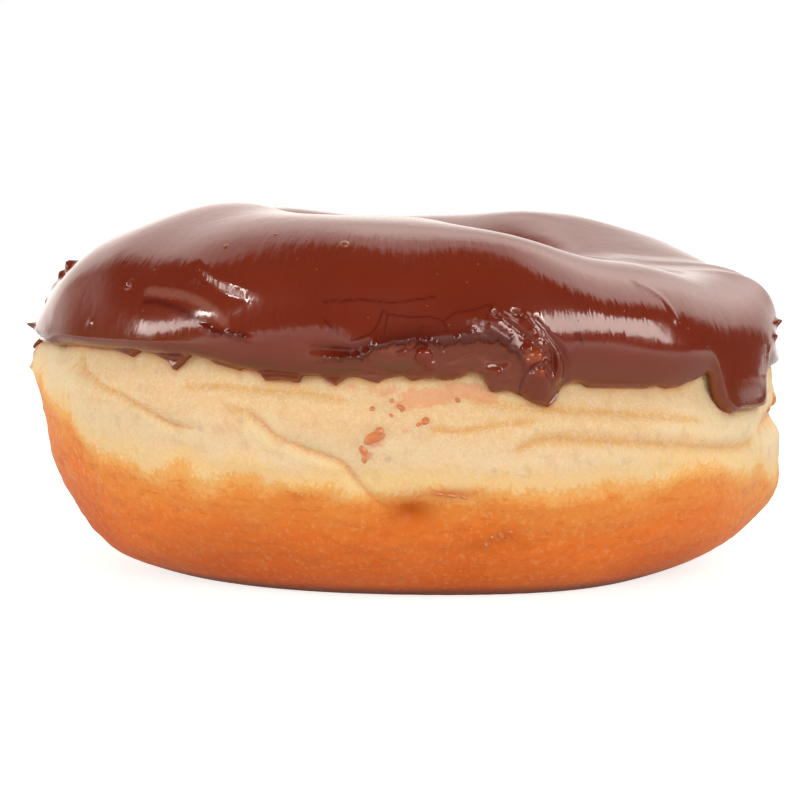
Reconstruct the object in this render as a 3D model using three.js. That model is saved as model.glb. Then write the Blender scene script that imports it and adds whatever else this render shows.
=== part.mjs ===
// A raised ring doughnut with a thick chocolate glaze, at its real size in millimetres, +Z up.
// The ring is round Z, with its bounding box centred on it, and rests on z = 0. The side where the glaze
// was touched faces -Y, the front.
// Both solids are tubes carried round the ring: a section is worked out for each direction and
// each angle round the section, and relief then moves the surface in or out along the section's normal.
import * as THREE from "three";

const DEG = Math.PI / 180;

// ---------- Driving sizes in millimetres ----------
// Lists of eight go round the ring every 45 degrees: right (+X), back right, back (+Y), back left,
// left (-X), front left, front (-Y), front right. The outline includes the glaze.
const CREST_HEIGHT = [39.6, 45.2, 45.2, 46.6, 45.9, 47.1, 46.6, 41.1];
const OUTER_RADIUS = [50.4, 49.5, 48.6, 48.9, 49.3, 48.8, 47.2, 49.1];
const BELLY_HEIGHT = [23.5, 25.8, 29.7, 32.1, 28.5, 28.2, 30.1, 23.9]; // where the outline is widest
const CREST_RADIUS = [27.2, 26.8, 26.4, 26.2, 26.2, 26.2, 26.2, 26.8];
const HOLE_RADIUS = [8.6, 8.2, 8.8, 9.1, 8.4, 8.7, 9.0, 8.3];
const HOLE_WAIST = 23.0; // height where the hole is narrowest
const CENTRE = [-0.13, 0.81]; // middle of the outline's bounding box in the plane of its own axis
const SINK = 0.8; // how far the round underside would reach below the table, so it is flat there

// Squareness of the section's quarters: 2 is an ellipse, more is boxier.
const LOWER_SQUARENESS = [2.5, 2.35, 2.2, 2.15, 2.3, 2.2, 2.3, 2.4];
const UPPER_SQUARENESS = [3.2, 2.65, 2.6, 2.8, 2.0, 2.45, 2.6, 2.9];
const INNER_SQUARENESS = 2.1;

// The glaze
const GLAZE_THICKNESS = 2.0;
const GLAZE_GAP = 0.3; // free space left between the glaze and the dough
const GLAZE_EDGE = [26.6, 28.4, 28.9, 29.2, 30.0, 30.2, 28.0, 26.2]; // height of its edge, outside
const GLAZE_HOLE_EDGE = [28.5, 30.0, 29.0, 31.0, 29.5, 30.5, 29.5, 28.0]; // height of its edge in the hole
const LIP_WIDTH = 1.5; // the edge rounds over in this width
const BEAD = { height: 0.35, from_edge: 2.4, width: 1.4 }; // the glaze gathers in a bead above its edge
const RAMP = 6.0; // below the glaze the dough swells back out to the outline in this height

// Where the glaze ran down past its edge: azimuth and half width in degrees, drop in mm.
// A high power makes a drip with steep sides and a broad foot.
const DRIPS = [
  { at: -31.0, half: 8.6, drop: 4.7, power: 10 },
  { at: -42.0, half: 2.6, drop: -1.6, power: 2 },
  { at: -71.2, half: 2.9, drop: 2.7, power: 2 },
  { at: -76.2, half: 2.8, drop: 1.3, power: 4 },
  { at: -109.2, half: 2.4, drop: 1.1, power: 4 },
  { at: -126.6, half: 1.7, drop: 1.7, power: 2 },
  { at: -158.0, half: 3.0, drop: 0.8, power: 2 },
  { at: -178.5, half: 2.8, drop: 2.2, power: 2 },
  { at: 17.0, half: 4.0, drop: 2.2, power: 2 },
  { at: 41.0, half: 6.5, drop: 3.6, power: 4 },
  { at: 74.0, half: 3.6, drop: 1.8, power: 2 },
  { at: 103.0, half: 5.0, drop: 2.7, power: 4 },
  { at: 138.0, half: 3.4, drop: 1.5, power: 2 },
  { at: 161.0, half: 4.6, drop: 2.4, power: 4 },
];

// Folds of the pale band: a groove along a path of [azimuth in degrees, height in mm].
// The lip is how far the dough swells beside the groove: below it, or above it where lip_side is 1.
const FOLDS = [
  { path: [[-148, 29], [-144, 27.6], [-139, 25.8], [-133.5, 24.9], [-128.8, 23.2], [-125.5, 21.9],
    [-121.4, 21.6]],
    depth: 0.8, width: 1.0, lip: 0.35, lip_side: -1 },
  { path: [[-116, 24], [-113.2, 23.8], [-110.8, 22.7], [-109.1, 20.8], [-105.5, 19.9], [-101.8, 18.9],
    [-99, 17.9],
    [-97.3, 16], [-94.8, 13.4], [-92.2, 11.7]],
    depth: 0.9, width: 1.0, lip: 0.4, lip_side: -1 },
  { path: [[-81, 24.3], [-74, 23.4], [-65.3, 23.0], [-55.5, 22.4], [-47, 21.8]],
    depth: 0.4, width: 1.2, lip: 0.2, lip_side: -1 },
  { path: [[-70, 20.2], [-63.6, 20.4], [-58.8, 19.6], [-53.7, 18.4], [-49, 18.8], [-46, 18.6],
    [-41, 17.2], [-34.7, 16.8],
    [-29, 17.6]],
    depth: 1.3, width: 1.3, lip: 0.5, lip_side: 1 },
  { path: [[-26, 18.8], [-14, 19.2], [-4, 19.4], [6, 19.0], [18, 17.8]],
    depth: 2.3, width: 1.5, lip: 0.2, lip_side: -1 },
  { path: [[28, 19.0], [40, 21.0], [52, 20.4], [63, 22.4]], depth: 0.9, width: 1.2, lip: 0.4, lip_side: -1 },
  { path: [[78, 22.6], [92, 20.6], [104, 21.2], [117, 19.4]], depth: 0.8, width: 1.1, lip: 0.4, lip_side: -1 },
  { path: [[128, 20.4], [141, 22.6], [155, 21.6], [170, 24.0], [181, 23.4], [192, 25.0]],
    depth: 0.9, width: 1.2, lip: 0.4, lip_side: -1 },
];
const LIP_DISTANCE = 2.2; // the lip's top is this many groove widths from the groove
const FOLD_FADE = 0.2; // a fold fades out over this share of its path at either end

// Dents pressed into the dough, and knobs of glaze: azimuth in degrees, height, depth or swell and size
// in mm.
// A dent of negative depth is a bulge.
const DENTS = [
  { at: -89.5, height: 11.6, depth: 1.3, across: 3.0, tall: 1.6 },
  { at: -58.0, height: 7.5, depth: 0.5, across: 4.0, tall: 2.5 },
  { at: 150.0, height: 12.0, depth: 0.8, across: 5.0, tall: 3.0 },
  { at: 62.0, height: 10.0, depth: 0.6, across: 6.0, tall: 3.0 },
  { at: -8.0, height: 9.8, depth: -1.1, across: 9.0, tall: 3.2 },
  { at: -158.0, height: 4.8, depth: -1.0, across: 13.0, tall: 3.4 },
];
const KNOBS = [
  { at: -70.6, height: 26.6, swell: 1.7, across: 1.9, tall: 2.6 },
  { at: -72.0, height: 30.6, swell: 0.8, across: 1.6, tall: 2.6 },
  { at: -75.0, height: 33.6, swell: 0.5, across: 2.0, tall: 2.4 },
  { at: -5.0, height: 28.6, swell: -0.9, across: 6.0, tall: 2.2 },
  { at: 1.0, height: 37.2, swell: 1.2, across: 3.4, tall: 2.6 },
  { at: -173.5, height: 38.2, swell: 1.5, across: 1.9, tall: 1.5 },
];
// The front of the glaze was touched: below this height it is scraped thinner, between these azimuths.
const SCRAPE = { from: -102, to: -76, top: 31.6, depth: 0.7, softness: 2.0 };

// Slow unevenness: waves in three directions, of these wavelengths in mm.
const DOUGH_WAVES = { seed: 2, count: 14, shortest: 16, longest: 46, height: 0.35 };
const CALM = 6.0; // the dough's unevenness dies away to the table over this height
const GLAZE_WAVES = { seed: 23, count: 14, shortest: 11, longest: 34, height: 0.2 };

// Facets. Columns stand closer at the front, where the relief is finest.
const FRONT = -90 * DEG;
const FRONT_LEAN = 0.32;
const COLUMNS = 120;
const COVERED_ROWS = 9; // dough under the glaze, and the glaze's underside
const WALL_ROWS = 11; // dough between the glaze and the table
const HOLE_ROWS = 5;
const BASE_ANGLE = 0.2; // half the angle of the flat underside, in radians
const LIP_ROWS = [0, 0.2, 0.7, 1.5, 2.8]; // heights of glaze rows above its edge
const SHOULDER = 5.5; // height above its even edge at which the glaze's evenly spaced rows begin
const TOP_ROWS = 10;

const DOUGH_COLOUR = 0xe8b070;
const GLAZE_COLOUR = 0x5a1e10;

// ---------- Helpers ----------
// A smooth closed curve through eight sizes, read at an angle in radians (Catmull-Rom).
function around(sizes, angle) {
  const n = sizes.length;
  const at = (((angle / (2 * Math.PI)) * n) % n + n) % n;
  const i = Math.floor(at);
  const t = at - i;
  const [a, b, c, d] = [i + n - 1, i, i + 1, i + 2].map((k) => sizes[k % n]);
  return 0.5 * (2 * b + (c - a) * t + (2 * a - 5 * b + 4 * c - d) * t * t + (3 * b - a - 3 * c + d) * t ** 3);
}

const smoothstep = (low, high, x) => THREE.MathUtils.smoothstep(x, low, high);

// The turn from one azimuth to another, from -180 to 180 degrees.
const turn = (from, to) => ((((to - from) % 360) + 540) % 360) - 180;

// A random sequence from 0 to 1 that is the same on every run (Lehmer's generator).
function seeded(seed) {
  let state = seed;
  return () => {
    state = (state * 48271) % 2147483647;
    return state / 2147483647;
  };
}

// Unevenness: the sum of plane waves with random directions, lengths and phases, about 1 high.
function waves({ seed, count, shortest, longest, height }) {
  const random = seeded(seed);
  const set = [];
  for (let i = 0; i < count; i++) {
    const up = 2 * random() - 1;
    const heading = 2 * Math.PI * random();
    const flat = Math.sqrt(1 - up * up);
    const number = (2 * Math.PI) / (shortest + (longest - shortest) * random());
    set.push({
      x: flat * Math.cos(heading) * number,
      y: flat * Math.sin(heading) * number,
      z: up * number,
      phase: 2 * Math.PI * random(),
    });
  }
  const scale = height * Math.sqrt(2 / count);
  const wave = (w, x, y, z) => Math.sin(w.x * x + w.y * y + w.z * z + w.phase);
  return (x, y, z) => scale * set.reduce((sum, w) => sum + wave(w, x, y, z), 0);
}
const doughWaves = waves(DOUGH_WAVES);
const glazeWaves = waves(GLAZE_WAVES);

// ---------- The outline's section ----------
// The point of the outline at an azimuth and an angle round the section, both in radians, with its
// outward normal.
// Angle 0 is the belly, a quarter turn the crest, a half turn the hole's wall.
function outline(azimuth, angle) {
  const c = Math.cos(angle);
  const s = Math.sin(angle);
  const crest = around(CREST_RADIUS, azimuth);
  const outside = c > 0;
  const middle = outside ? around(BELLY_HEIGHT, azimuth) : HOLE_WAIST;
  const across = outside ? around(OUTER_RADIUS, azimuth) - crest : crest - around(HOLE_RADIUS, azimuth);
  const tall = s > 0 ? around(CREST_HEIGHT, azimuth) - middle : middle + SINK;
  const quarters = s > 0 ? UPPER_SQUARENESS : LOWER_SQUARENESS;
  const squareness = outside ? around(quarters, azimuth) : INNER_SQUARENESS;
  const nr = (Math.sign(c) * Math.abs(c) ** (2 - 2 / squareness)) / across;
  const nz = (Math.sign(s) * Math.abs(s) ** (2 - 2 / squareness)) / tall;
  const length = Math.hypot(nr, nz);
  return {
    radius: crest + across * Math.sign(c) * Math.abs(c) ** (2 / squareness),
    height: middle + tall * Math.sign(s) * Math.abs(s) ** (2 / squareness),
    nr: nr / length,
    nz: nz / length,
  };
}

// The angle round the section at which the outline has this height, outside the ring or in its hole.
function angleAtHeight(azimuth, height, outside) {
  const middle = outside ? around(BELLY_HEIGHT, azimuth) : HOLE_WAIST;
  const above = height > middle;
  const tall = above ? around(CREST_HEIGHT, azimuth) - middle : middle + SINK;
  const quarters = above ? UPPER_SQUARENESS : LOWER_SQUARENESS;
  const squareness = outside ? around(quarters, azimuth) : INNER_SQUARENESS;
  const s = Math.min(1, Math.abs(height - middle) / tall) ** (squareness / 2);
  const rise = Math.asin(s) * (above ? 1 : -1);
  return outside ? rise : Math.PI - rise;
}

// Heights of the glaze's edge: in the hole, on the outside without its drips, and with them.
const holeEdge = (azimuth) => around(GLAZE_HOLE_EDGE, azimuth);
const evenEdge = (azimuth) => around(GLAZE_EDGE, azimuth);
function glazeEdge(azimuth) {
  let height = evenEdge(azimuth);
  for (const d of DRIPS) {
    height -= d.drop * Math.exp(-(Math.abs(turn(d.at, azimuth / DEG) / d.half) ** d.power));
  }
  return height;
}

// ---------- Relief ----------
// Distance in mm from a point on the outside, at an azimuth in degrees and a height, to a fold's path,
// how far the point is above it, and how deep the fold is there: it fades out at both ends.
function offPath(path, azimuth, height, radius) {
  let best = { distance: Infinity, above: 0, strength: 0 };
  const mmPerDegree = radius * DEG;
  for (let i = 0; i + 1 < path.length; i++) {
    const [a0, h0] = path[i];
    const [a1, h1] = path[i + 1];
    const px = turn(a0, azimuth) * mmPerDegree;
    const py = height - h0;
    const dx = turn(a0, a1) * mmPerDegree;
    const dy = h1 - h0;
    const t = THREE.MathUtils.clamp((px * dx + py * dy) / (dx * dx + dy * dy), 0, 1);
    const distance = Math.hypot(px - t * dx, py - t * dy);
    if (distance >= best.distance) continue;
    const share = (i + t) / (path.length - 1);
    const strength = smoothstep(0, FOLD_FADE, share) * smoothstep(0, FOLD_FADE, 1 - share);
    best = { distance, above: py - t * dy, strength };
  }
  return best;
}

// A soft round swelling, 1 at its middle.
function mound({ at, height, across, tall }, azimuth, z, radius) {
  const dx = (turn(at, azimuth / DEG) * DEG * radius) / across;
  const dz = (z - height) / tall;
  return Math.exp(-dx * dx - dz * dz);
}

// How far the dough's surface stands out from the outline.
function doughRelief(azimuth, angle, p) {
  const outside = Math.cos(angle) > 0;
  const covered = outside ? evenEdge(azimuth) : holeEdge(azimuth);
  const under = smoothstep(covered - RAMP, covered, p.height);
  let relief = smoothstep(0, CALM, p.height) * doughWaves(p.x, p.y, p.height);
  relief -= under * (GLAZE_THICKNESS + GLAZE_GAP);
  if (!outside) return relief;
  const edge = glazeEdge(azimuth);
  const bare = 1 - smoothstep(edge - 0.5, edge + 1.5, p.height);
  for (const fold of FOLDS) {
    const { distance, above, strength } = offPath(fold.path, azimuth / DEG, p.height, p.radius);
    const groove = Math.exp(-((distance / fold.width) ** 2));
    const away = (above * fold.lip_side - LIP_DISTANCE * fold.width) / fold.width;
    const beside = Math.exp(-((distance / (2.5 * fold.width)) ** 2)) * Math.exp(-(away ** 2) / 2);
    relief += bare * strength * (fold.lip * beside - fold.depth * groove);
  }
  for (const d of DENTS) relief -= d.depth * mound(d, azimuth, p.height, p.radius);
  return relief;
}

// Thickness of the glaze at a height above its nearer edge, both in mm: it rounds over at
// the lip, gathers in a bead and then lies evenly.
function glazeBody(fromEdge) {
  const t = Math.min(1, fromEdge / LIP_WIDTH);
  const lip = Math.sqrt(Math.max(0, 1 - (1 - t) ** 2));
  const bead = BEAD.height * Math.exp(-(((fromEdge - BEAD.from_edge) / BEAD.width) ** 2));
  return lip * GLAZE_THICKNESS + t * bead;
}

// What the glaze has on top of its even thickness.
function glazeRelief(azimuth, angle, p) {
  let relief = glazeWaves(p.x, p.y, p.height);
  if (Math.cos(angle) < 0) return relief;
  for (const k of KNOBS) relief += k.swell * mound(k, azimuth, p.height, p.radius);
  const degrees = azimuth / DEG;
  const along = smoothstep(0, 6, turn(SCRAPE.from, degrees)) * smoothstep(0, 3, turn(degrees, SCRAPE.to));
  relief -= along * SCRAPE.depth * (1 - smoothstep(SCRAPE.top - SCRAPE.softness, SCRAPE.top, p.height));
  return relief;
}

// ---------- Surfaces ----------
const columnAzimuth = (i) => {
  const even = (2 * Math.PI * i) / COLUMNS - Math.PI;
  return even - FRONT_LEAN * Math.sin(even - FRONT);
};

// The outline's point, with its place in the plane.
function outlinePoint(azimuth, angle) {
  const p = outline(azimuth, angle);
  return { ...p, x: p.radius * Math.cos(azimuth), y: p.radius * Math.sin(azimuth) };
}

// A point at a distance from the outline along its normal, never below the table.
function offset(azimuth, p, distance) {
  const radius = p.radius + p.nr * distance;
  const height = Math.max(0, p.height + p.nz * distance);
  const [x, y] = CENTRE;
  return new THREE.Vector3(radius * Math.cos(azimuth) - x, radius * Math.sin(azimuth) - y, height);
}

function doughPoint(azimuth, angle) {
  const p = outlinePoint(azimuth, angle);
  return offset(azimuth, p, doughRelief(azimuth, angle, p));
}

// A point of the glaze's face, at a height above its nearer edge.
function facePoint(azimuth, angle, fromEdge) {
  const p = outlinePoint(azimuth, angle);
  const lip = Math.min(1, fromEdge / LIP_WIDTH);
  const body = glazeBody(fromEdge) + lip * glazeRelief(azimuth, angle, p);
  return offset(azimuth, p, doughRelief(azimuth, angle, p) + GLAZE_GAP + Math.max(0.4 * lip, body));
}

// Angles from one to another in even steps, without the last.
const steps = (from, to, count) => Array.from({ length: count }, (_, k) => from + ((to - from) * k) / count);

// Angles round the section at which the glaze ends, outside and in the hole.
function glazeSpan(azimuth) {
  return [
    angleAtHeight(azimuth, glazeEdge(azimuth), true),
    angleAtHeight(azimuth, holeEdge(azimuth), false),
  ];
}

// The closed loop of dough at one azimuth: under the glaze, down the hole's wall, over the flat
// underside and up the outside.
function doughLoop(azimuth) {
  const [from, to] = glazeSpan(azimuth);
  const base = 1.5 * Math.PI;
  const angles = [
    ...steps(from, to, COVERED_ROWS),
    ...steps(to, base - BASE_ANGLE, HOLE_ROWS),
    ...steps(base - BASE_ANGLE, base + BASE_ANGLE, 2),
    ...steps(base + BASE_ANGLE, from + 2 * Math.PI, WALL_ROWS),
  ];
  return angles.map((angle) => doughPoint(azimuth, angle));
}

// The closed loop of glaze at one azimuth: its underside from the outer edge over the crest to the edge in
// the hole, in the same rows as the dough, then its face back.
function glazeLoop(azimuth) {
  const [from, to] = glazeSpan(azimuth);
  const [outer, inner] = [glazeEdge(azimuth), holeEdge(azimuth)];
  const outerLip = LIP_ROWS.map((rise) => [angleAtHeight(azimuth, outer + rise, true), rise]);
  const innerLip = LIP_ROWS.map((rise) => [angleAtHeight(azimuth, inner + rise, false), rise]).reverse();
  const shoulder = angleAtHeight(azimuth, evenEdge(azimuth) + SHOULDER, true);
  const top = steps(shoulder, innerLip[0][0], TOP_ROWS).map((angle) => [angle, Infinity]);
  const face = [...outerLip, ...top, ...innerLip].map(([angle, rise]) => facePoint(azimuth, angle, rise));
  const underside = steps(from, to, COVERED_ROWS).slice(1).map((angle) => {
    const p = outlinePoint(azimuth, angle);
    return offset(azimuth, p, doughRelief(azimuth, angle, p) + GLAZE_GAP);
  });
  return [...underside, ...face.reverse()];
}

// A closed skin over loops that follow each other round the ring. The loops run outward and over
// the crest first, or the other way where they are reversed.
function ringGeometry(loops, reversed) {
  const rows = loops[0].length;
  const corner = (i, k) => (i % loops.length) * rows + (k % rows);
  const faces = [];
  for (let i = 0; i < loops.length; i++) {
    for (let k = 0; k < rows; k++) {
      const [a, b, c, d] = [corner(i, k), corner(i + 1, k), corner(i + 1, k + 1), corner(i, k + 1)];
      faces.push(...(reversed ? [a, c, b, a, d, c] : [a, b, c, a, c, d]));
    }
  }
  const geometry = new THREE.BufferGeometry().setFromPoints(loops.flat());
  geometry.setIndex(faces);
  geometry.computeVertexNormals();
  return geometry;
}

function ring(name, loopAt, reversed, material) {
  const loops = Array.from({ length: COLUMNS }, (_, i) => loopAt(columnAzimuth(i)));
  const mesh = new THREE.Mesh(ringGeometry(loops, reversed), material);
  mesh.name = name;
  return mesh;
}

const crust = new THREE.MeshStandardMaterial({ color: DOUGH_COLOUR, roughness: 0.6, metalness: 0 });
const chocolate = new THREE.MeshStandardMaterial({ color: GLAZE_COLOUR, roughness: 0.15, metalness: 0 });

const doughnut = new THREE.Group();
doughnut.add(ring("dough", doughLoop, false, crust));
doughnut.add(ring("glaze", glazeLoop, true, chocolate));

export default doughnut;
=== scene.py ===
# %% [markdown]
# # A chocolate glazed ring doughnut
# A raised doughnut is a ring of yeast dough, fried on one side and then the other while it floats. The part
# below the oil browns to a crust, and the band that stays above it keeps the pale colour of the dough. The
# top is then dipped in warm chocolate glaze, which runs a little over the band before it sets.
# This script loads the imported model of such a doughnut, replaces its two plain solids with finely modelled
# skins of the same form, and gives them procedural materials.

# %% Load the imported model
import functools

import bpy
import numpy as np
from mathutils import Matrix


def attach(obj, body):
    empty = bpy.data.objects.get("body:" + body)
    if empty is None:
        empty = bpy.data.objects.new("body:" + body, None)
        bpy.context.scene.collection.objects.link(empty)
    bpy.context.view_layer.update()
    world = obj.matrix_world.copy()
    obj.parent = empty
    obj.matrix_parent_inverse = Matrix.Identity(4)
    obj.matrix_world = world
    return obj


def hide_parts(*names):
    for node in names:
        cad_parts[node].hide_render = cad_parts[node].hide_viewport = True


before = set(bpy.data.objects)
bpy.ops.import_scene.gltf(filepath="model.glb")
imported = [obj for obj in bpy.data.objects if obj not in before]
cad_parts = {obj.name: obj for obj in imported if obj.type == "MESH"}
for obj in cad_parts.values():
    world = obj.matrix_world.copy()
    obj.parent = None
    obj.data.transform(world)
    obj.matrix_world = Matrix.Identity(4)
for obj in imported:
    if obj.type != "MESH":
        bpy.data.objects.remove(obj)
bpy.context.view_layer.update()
print("nodes:", sorted(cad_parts))

# %% [markdown]
# ## The sizes
# All lengths here are in millimetres and all azimuths in degrees, -90 being the front. Most of the numbers
# are those of the solids, so the fine skins have the same form, and the rest add what the solids leave out.
# Lists of eight go round the ring every 45 degrees, from the right (+X) through the back (+Y), the left and
# the front.

# %% Sizes of the ring
# Heights and radii of the crest, the outermost point and the hole, and how square the section's quarters are.
CREST_HEIGHT = [39.6, 45.2, 45.2, 46.6, 45.9, 47.1, 46.6, 41.1]
OUTER_RADIUS = [50.4, 49.5, 48.6, 48.9, 49.3, 48.8, 47.2, 49.1]
BELLY_HEIGHT = [23.5, 25.8, 29.7, 32.1, 28.5, 28.2, 30.1, 23.9]
CREST_RADIUS = [27.2, 26.8, 26.4, 26.2, 26.2, 26.2, 26.2, 26.8]
HOLE_RADIUS = [8.6, 8.2, 8.8, 9.1, 8.4, 8.7, 9.0, 8.3]
LOWER_SQUARENESS = [2.5, 2.35, 2.2, 2.15, 2.3, 2.2, 2.3, 2.4]
UPPER_SQUARENESS = [3.2, 2.65, 2.6, 2.8, 2.0, 2.45, 2.6, 2.9]
INNER_SQUARENESS = 2.1
HOLE_WAIST = 23.0
# Middle of the ring's box, which is the origin, and how far the section would go on below the table.
CENTRE = (-0.13, 0.81)
SINK = 0.8

# The glaze: its thickness and gap, the heights of its edge outside and in the hole, and its rounded lip with
# a bead above it.
GLAZE_THICKNESS = 2.0
GLAZE_GAP = 0.3
GLAZE_EDGE = [26.6, 28.4, 28.9, 29.2, 30.0, 30.2, 28.0, 26.2]
GLAZE_HOLE_EDGE = [28.5, 30.0, 29.0, 31.0, 29.5, 30.5, 29.5, 28.0]
LIP_WIDTH = [3.0, 2.0, 2.0, 1.8, 1.3, 1.3, 3.6, 5.0]
BEAD = dict(from_edge=2.4, width=1.4)
BEAD_HEIGHT = [0.15, 0.35, 0.35, 0.35, 0.2, 0.0, 0.05, 0.0]
# Heights over which the dough gets thinner towards the glaze, and over which its waves start at the table.
RAMP = 6.0
CALM = 6.0

# Drips: azimuth, half width in degrees, drop in mm and power (a high power gives steep sides).
DRIPS = [
    (-29.8, 8.5, 4.3, 8), (-41.2, 2.4, -1.6, 2), (-70.4, 2.9, 2.7, 2), (-76.2, 2.8, 1.3, 4),
    (-109.0, 9.5, 0.9, 4), (-126.6, 1.7, 1.7, 2), (-158.0, 3.0, 0.8, 2), (-178.5, 2.8, 2.2, 2),
    (17.0, 4.0, 2.2, 2), (41.0, 6.5, 3.6, 4), (74.0, 3.6, 1.8, 2), (103.0, 5.0, 2.7, 4),
    (138.0, 3.4, 1.5, 2), (161.0, 4.6, 2.4, 4),
]
# Folds of the pale band: path of (azimuth, height), groove depth and width, lip height and side, and the
# width of the golden tint, which is partly painted shade.
FOLDS = [
    ([(-152, 26), (-150, 29), (-148.5, 27.3), (-144, 26.4), (-141.7, 25.6), (-135.8, 24.6),
      (-130.6, 22.8), (-127, 21.4), (-121.5, 21.3)], 0.35, 0.6, 0.25, -1, 0.32),
    ([(-118, 23.6), (-114.2, 23.6), (-111.8, 22.3), (-109.8, 20.6), (-106, 19.5), (-102.3, 18.6),
      (-99.3, 17.7), (-97.6, 15.7), (-94.9, 13.3), (-92.2, 11.7)], 0.4, 0.6, 0.3, -1, 0.36),
    ([(-125, 26.2), (-118.6, 26.4), (-113.8, 26.0), (-106, 26.0), (-98, 25.0)], 0.1, 0.5, 0.05, -1, 0.4),
    ([(-87.5, 21.9), (-82.5, 21.5), (-76.8, 22.3), (-70.6, 22.7)], 0.1, 0.8, 0.1, 1, 0.5),
    ([(-81, 25.4), (-76.3, 24.5), (-70.3, 24.0), (-60.7, 23.3), (-52, 22.6), (-42, 21.5)],
      0.15, 1.0, 0.15, 1, 0.55),
    ([(-75.5, 18.9), (-71, 20.4), (-67.8, 20.4), (-60.6, 19.8), (-52.5, 19.3), (-42.3, 18.2),
      (-31.7, 17.3), (-26, 18.0)], 0.45, 1.2, 0.4, 1, 0.7),
    ([(-26, 18.8), (-14, 19.2), (-4, 19.4), (6, 19.0), (18, 17.8)], 1.2, 1.5, 0.1, -1, 0.9),
    ([(28, 19.0), (40, 21.0), (52, 20.4), (63, 22.4)], 0.4, 1.0, 0.3, -1, 0.5),
    ([(78, 22.6), (92, 20.6), (104, 21.2), (117, 19.4)], 0.4, 1.0, 0.3, -1, 0.5),
    ([(128, 20.4), (141, 22.6), (155, 21.6), (170, 24.0), (181, 23.4), (192, 25.0)],
      0.4, 1.0, 0.3, -1, 0.5),
]
# Distance of a lip from its groove and its spread, in widths of the groove, and the share of its path over
# which a fold fades at either end.
LIP_DISTANCE = 2.2
LIP_SPREAD = 2.5
FOLD_FADE = 0.2
# Dents of the dough and knobs of the glaze: azimuth, height, depth or swell, size across and size upward.
DENTS = [
    (-89.6, 11.4, 1.5, 2.8, 1.7), (-58.0, 7.5, 0.5, 4.0, 2.5), (150.0, 12.0, 0.8, 5.0, 3.0),
    (62.0, 10.0, 0.6, 6.0, 3.0), (-8.0, 9.8, -1.1, 9.0, 3.2), (-158.0, 4.8, -1.0, 13.0, 3.4),
]
KNOBS = [
    (-70.6, 26.6, 1.7, 1.9, 2.6), (-72.0, 30.6, 0.8, 1.6, 2.6), (-82.0, 34.2, 1.0, 5.0, 2.8),
    (-5.0, 28.6, -0.9, 6.0, 2.2), (1.0, 37.2, 1.2, 3.4, 2.6),
]
# Swells of the dough that the solid leaves out, given as the knobs are. A negative one is a hollow.
SWELLS = [
    (-178.0, 27.3, 1.6, 9.0, 3.2), (-176.0, 33.0, -0.8, 8.0, 2.4), (-2.0, 26.0, 0.9, 8.0, 2.2),
    (-4.0, 29.4, -0.7, 8.0, 1.6), (-168.0, 44.0, 0.6, 14.0, 3.0), (38.0, 41.2, 1.0, 12.0, 2.2),
    (-58.0, 2.0, 0.6, 15.0, 4.0), (-12.0, 20.4, -0.7, 8.0, 1.8), (-175.6, 28.2, 0.5, 1.6, 1.0),
    (-177.0, 25.8, 0.5, 1.0, 0.5),
]
print("drips:", len(DRIPS), "folds:", len(FOLDS), "dents:", len(DENTS), "knobs:", len(KNOBS))

# %% [markdown]
# ## Curves, steps and waves
# Three small tools do most of the shaping. A smooth closed curve through eight sizes says how each size
# changes round the ring. A smooth step fades one thing into another. Unevenness is a sum of plane waves that
# run in all directions: with a fixed seed it is the same on each run, and it needs no image.

# %% Tools for shaping
def around(sizes, azimuth):
    """The sizes joined by a closed Catmull-Rom curve, read at azimuths in radians: the cubic through the
    middle two of four neighbours whose slopes are half the difference of the outer ones."""
    v = np.asarray(sizes, float)
    at = np.mod(azimuth / (2 * np.pi) * len(v), len(v))
    i = np.floor(at).astype(int) % len(v)
    t = at - np.floor(at)
    a, b, c, d = (v[(i + k) % len(v)] for k in (-1, 0, 1, 2))
    return 0.5 * (2 * b + (c - a) * t + (2 * a - 5 * b + 4 * c - d) * t**2 + (3 * b - a - 3 * c + d) * t**3)


def smoothstep(low, high, x):
    """3t^2 - 2t^3 with t the share of the way from low to high, held between 0 and 1."""
    t = np.clip((x - low) / (high - low), 0, 1)
    return t * t * (3 - 2 * t)


def turn(start, end):
    """The turn from one azimuth to another in degrees, between -180 and 180."""
    return np.mod(np.mod(end - start, 360) + 540, 360) - 180


def power(x, exponent):
    """The sign of x times its size to a power."""
    return np.sign(x) * np.abs(x) ** exponent


def plane_waves(seed, count, shortest, longest, height):
    """A function of x, y and z: the sum of count sines, each along a random direction with a random length
    between shortest and longest, scaled so that the whole has this height (root mean square)."""
    state = seed

    def random():
        nonlocal state
        state = state * 48271 % 2147483647
        return state / 2147483647

    waves = []
    for _ in range(count):
        up = 2 * random() - 1
        heading = 2 * np.pi * random()
        flat = np.sqrt(1 - up * up)
        number = 2 * np.pi / (shortest + (longest - shortest) * random())
        phase = 2 * np.pi * random()
        waves.append((flat * np.cos(heading) * number, flat * np.sin(heading) * number, up * number, phase))
    scale = height * np.sqrt(2 / count)
    return lambda x, y, z: scale * sum(np.sin(a * x + b * y + c * z + p) for a, b, c, p in waves)


dough_waves = plane_waves(2, 14, 16, 46, 0.35)
glaze_waves = plane_waves(23, 14, 11, 34, 0.2)
print("unevenness at the front: %.2f mm" % dough_waves(0.0, -47.0, 20.0))

# %% [markdown]
# ## The ring's outline
# The section of the ring is made of four quarters of superellipses, outside and in the hole, above and below
# the belly. A squareness of 2 gives an ellipse and more gives a boxier quarter. Its normal, which is needed
# to lay one thing on another, comes from the same formula.

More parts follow.
